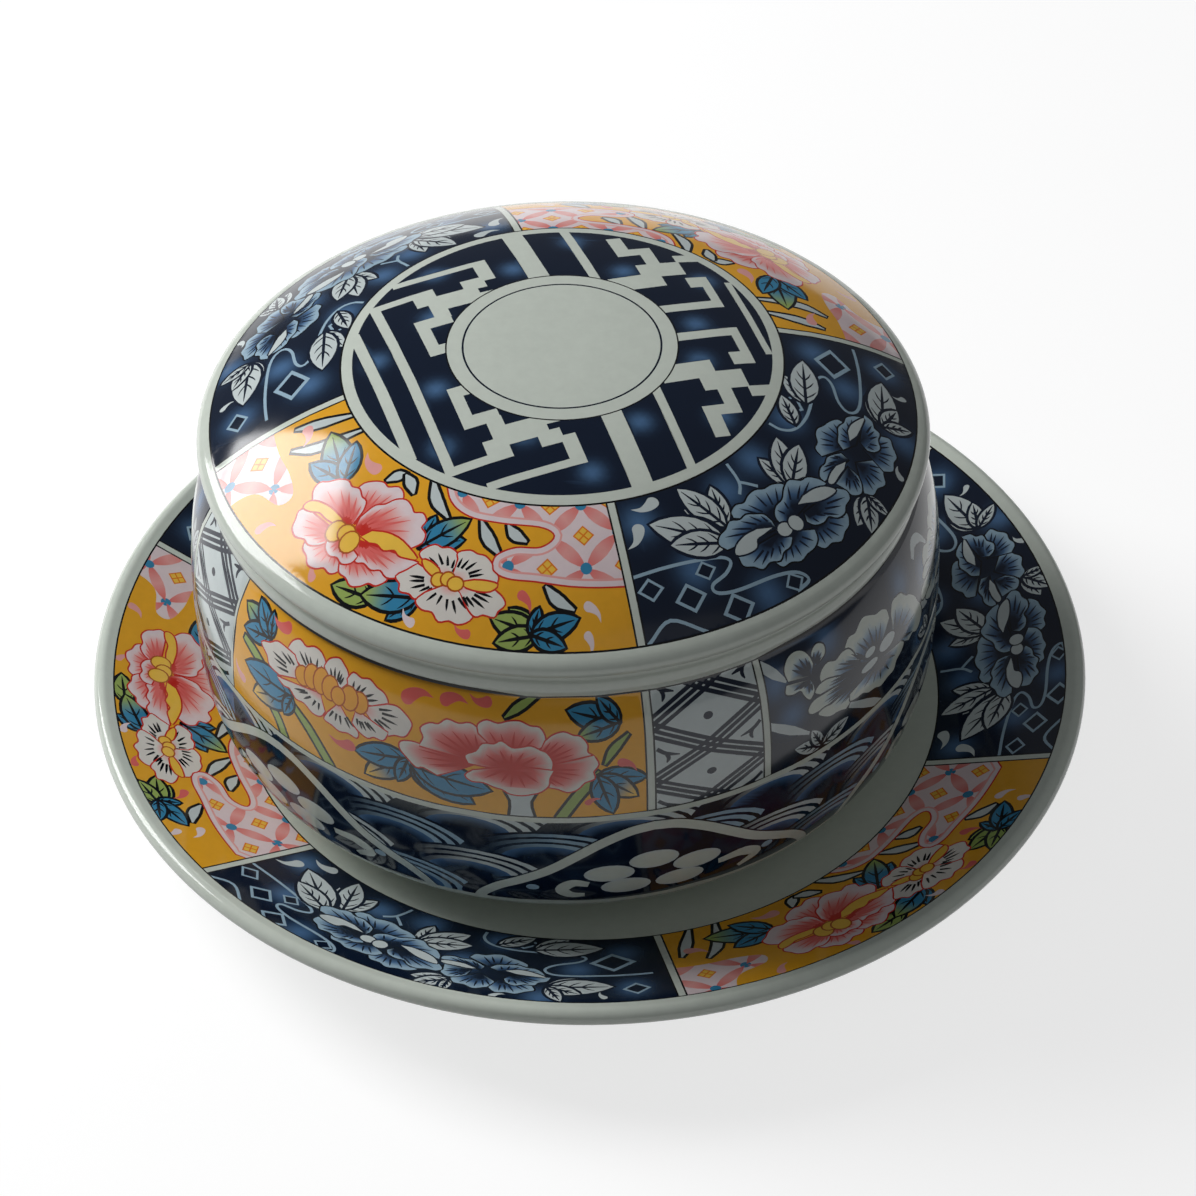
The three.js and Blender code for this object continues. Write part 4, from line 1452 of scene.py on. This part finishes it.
# Materials: each noise is its waves in a metre and its detail, and each range is what it is laid out between
POOLING_NOISE = (420, 4, 0.6)
POOLING_TONE = (0.93, 1.07)
HAZE_NOISE = (60, 2)
HAZE_TONE = (0.98, 1.02)
GLOSS_NOISE = (90, 3)
GLOSS_ROUGHNESS = (0.07, 0.15)
RIPPLE_NOISE = (120, 2)
RIPPLE_STRENGTH = 0.25
RIPPLE_HEIGHT = 0.00012
GLAZE_IOR = 1.45
BARE_COLOURS = (ink(0.80, 0.77, 0.71), ink(0.88, 0.85, 0.80))
BARE_NOISE = (900, 4)
MATT_NOISE = (400, 3)
MATT_ROUGHNESS = (0.6, 0.8)
GRIT_NOISE = (2500, 3)
GRIT_STRENGTH = 0.4
GRIT_HEIGHT = 0.0001


def new_material(name):
    material = bpy.data.materials.new(name)
    material.use_nodes = True
    nodes = material.node_tree.nodes
    return material, nodes, material.node_tree.links, nodes["Principled BSDF"]


def noise(nodes, links, scale, detail, roughness=0.5):
    """Noise in the piece's own space; the scale is in waves per metre."""
    place = nodes.new("ShaderNodeTexCoord")
    texture = nodes.new("ShaderNodeTexNoise")
    texture.inputs["Scale"].default_value = scale
    texture.inputs["Detail"].default_value = detail
    texture.inputs["Roughness"].default_value = roughness
    links.new(place.outputs["Object"], texture.inputs["Vector"])
    return texture.outputs["Fac"]


def spread(nodes, links, value, low, high):
    """A value between 0 and 1 laid out between two others."""
    node = nodes.new("ShaderNodeMapRange")
    node.inputs["To Min"].default_value = low
    node.inputs["To Max"].default_value = high
    links.new(value, node.inputs["Value"])
    return node.outputs["Result"]


def painted_glaze():
    """Clear glossy glaze over painted porcelain, with the unevenness of hand-laid colour."""
    material, nodes, links, shader = new_material("painted_glaze")
    paint = nodes.new("ShaderNodeVertexColor")
    paint.layer_name = "Paint"
    pooling = spread(nodes, links, noise(nodes, links, *POOLING_NOISE), *POOLING_TONE)
    clouds = spread(nodes, links, noise(nodes, links, *HAZE_NOISE), *HAZE_TONE)
    tone = nodes.new("ShaderNodeMath")
    tone.operation = "MULTIPLY"
    links.new(pooling, tone.inputs[0])
    links.new(clouds, tone.inputs[1])
    shade = nodes.new("ShaderNodeVectorMath")
    shade.operation = "SCALE"
    links.new(paint.outputs["Color"], shade.inputs[0])
    links.new(tone.outputs["Value"], shade.inputs["Scale"])
    links.new(shade.outputs["Vector"], shader.inputs["Base Color"])
    roughness = spread(nodes, links, noise(nodes, links, *GLOSS_NOISE), *GLOSS_ROUGHNESS)
    links.new(roughness, shader.inputs["Roughness"])
    ripple = nodes.new("ShaderNodeBump")
    ripple.inputs["Strength"].default_value = RIPPLE_STRENGTH
    ripple.inputs["Distance"].default_value = RIPPLE_HEIGHT
    links.new(noise(nodes, links, *RIPPLE_NOISE), ripple.inputs["Height"])
    links.new(ripple.outputs["Normal"], shader.inputs["Normal"])
    shader.inputs["IOR"].default_value = GLAZE_IOR
    return material


def bare_porcelain():
    """The unglazed porcelain of foot rings and seats: pale, matt and slightly gritty."""
    material, nodes, links, shader = new_material("bare_porcelain")
    colour = nodes.new("ShaderNodeMix")
    colour.data_type = "RGBA"
    colour.inputs["A"].default_value = (*BARE_COLOURS[0], 1)
    colour.inputs["B"].default_value = (*BARE_COLOURS[1], 1)
    links.new(noise(nodes, links, *BARE_NOISE), colour.inputs["Factor"])
    links.new(colour.outputs["Result"], shader.inputs["Base Color"])
    roughness = spread(nodes, links, noise(nodes, links, *MATT_NOISE), *MATT_ROUGHNESS)
    links.new(roughness, shader.inputs["Roughness"])
    grit = nodes.new("ShaderNodeBump")
    grit.inputs["Strength"].default_value = GRIT_STRENGTH
    grit.inputs["Distance"].default_value = GRIT_HEIGHT
    links.new(noise(nodes, links, *GRIT_NOISE), grit.inputs["Height"])
    links.new(grit.outputs["Normal"], shader.inputs["Normal"])
    return material


# Pieces
def make_pieces():
    materials = (painted_glaze(), bare_porcelain())
    face, outwards, inwards = plate_profile()
    plate, loops = lay_on_top(paint_plate(), face, PLATE_PAINT_EDGES[1], PLATE_PAINT_EDGES[0])
    plate.wall(loops[0], outwards, False, WALL_MAPS[0], (PLATE_BOTTOM,))
    plate.wall(loops[1], inwards, True, WALL_MAPS[1])
    underplate = plate.piece("porcelain_underplate", 0.0, materials)

    face, upwards, downwards = bowl_profile()
    round_bowl, (lower, upper) = lay_round(paint_bowl(), face)
    round_bowl.wall(lower, downwards, False, WALL_MAPS[0], (BOWL_BOTTOM,))
    round_bowl.wall(upper, upwards, True, WALL_MAPS[1], (BOWL_RIM,))
    bowl = round_bowl.piece("porcelain_bowl", BOWL_AXIS, materials)

    face, wall = lid_profile()
    domed_lid, loops = lay_on_top(paint_lid(), face, LID_PAINT_EDGE)
    domed_lid.wall(loops[0], wall, False, WALL_MAPS[0], (LID_SEAT, FLANGE_BOTTOM))
    lid = domed_lid.piece("porcelain_lid", BOWL_AXIS, materials)

    for piece, node in ((underplate, "underplate"), (bowl, "bowl"), (lid, "lid")):
        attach(piece, node)
        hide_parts(node)


# Studio
CAMERA_PLACE = Vector((1.855, -558.28, 542.42)) / METRE
CAMERA_RIGHT = Vector((0.99995, -0.00672, -0.00738))
CAMERA_BACK = Vector((0.0, -0.73979, 0.67284))
CAMERA_LENS = 110.7
CAMERA_SENSOR = 36.0
WINDOW_PLACE = (-0.85, 0.42, 0.72)
WINDOW_SIZE = 0.6
WINDOW_POWER = 12.0
FILL_PLACE = (0.3, -0.9, 0.9)
FILL_SIZE = 1.2
FILL_POWER = 0.9
LAMP_AIM = Vector((0, 0, 0.05))
SKY_COLOUR = (0.95, 0.97, 1.0, 1)
SKY_STRENGTH = 0.13
FLOOR_HALF = 6.0
FLOOR_LEVEL = -0.0001
FLOOR_COLOUR = (0.42, 0.42, 0.42, 1)
FLOOR_ROUGHNESS = 0.9
FLOOR_LIGHT = 0.72


def make_camera():
    data = bpy.data.cameras.new("camera")
    data.lens = CAMERA_LENS
    data.sensor_width = CAMERA_SENSOR
    data.clip_start = 0.01
    camera = bpy.data.objects.new("camera", data)
    up = CAMERA_BACK.cross(CAMERA_RIGHT).normalized()
    right = up.cross(CAMERA_BACK).normalized()
    turn = Matrix((right, up, CAMERA_BACK.normalized())).transposed().to_4x4()
    camera.matrix_world = Matrix.Translation(CAMERA_PLACE) @ turn
    bpy.context.scene.collection.objects.link(camera)
    bpy.context.scene.camera = camera


def make_lamp(name, place, size, power):
    """A square soft lamp that faces the tureen."""
    data = bpy.data.lights.new(name, "AREA")
    data.size = size
    data.energy = power
    lamp = bpy.data.objects.new(name, data)
    lamp.location = place
    aim = LAMP_AIM - Vector(place)
    lamp.rotation_euler = aim.to_track_quat("-Z", "Y").to_euler()
    bpy.context.scene.collection.objects.link(lamp)


def make_floor():
    """A wide pale floor that looks white and keeps the tureen's shadow."""
    mesh = bpy.data.meshes.new("floor")
    square = box(-FLOOR_HALF, FLOOR_HALF, -FLOOR_HALF, FLOOR_HALF)
    corners = [(across, along_floor, FLOOR_LEVEL) for across, along_floor in square]
    mesh.from_pydata(corners, [], [(0, 1, 2, 3)])
    material, nodes, links, shader = new_material("floor_white")
    shader.inputs["Base Color"].default_value = FLOOR_COLOUR
    shader.inputs["Roughness"].default_value = FLOOR_ROUGHNESS
    shader.inputs["Specular IOR Level"].default_value = 0.0
    path = nodes.new("ShaderNodeLightPath")
    seen = None
    for ray in ("Is Camera Ray", "Is Glossy Ray", "Is Transmission Ray"):
        if seen is None:
            seen = path.outputs[ray]
            continue
        larger = nodes.new("ShaderNodeMath")
        larger.operation = "MAXIMUM"
        links.new(seen, larger.inputs[0])
        links.new(path.outputs[ray], larger.inputs[1])
        seen = larger.outputs["Value"]
    shader.inputs["Emission Color"].default_value = (1, 1, 1, 1)
    links.new(spread(nodes, links, seen, 0.0, FLOOR_LIGHT), shader.inputs["Emission Strength"])
    mesh.materials.append(material)
    floor = bpy.data.objects.new("floor", mesh)
    bpy.context.scene.collection.objects.link(floor)


def make_studio():
    scene = bpy.context.scene
    scene.view_settings.view_transform = "Standard"
    world = bpy.data.worlds.new("studio")
    world.use_nodes = True
    sky = world.node_tree.nodes["Background"]
    sky.inputs["Color"].default_value = SKY_COLOUR
    sky.inputs["Strength"].default_value = SKY_STRENGTH
    scene.world = world
    make_lamp("window", WINDOW_PLACE, WINDOW_SIZE, WINDOW_POWER)
    make_lamp("fill", FILL_PLACE, FILL_SIZE, FILL_POWER)
    make_floor()
    make_camera()


make_pieces()
make_studio()
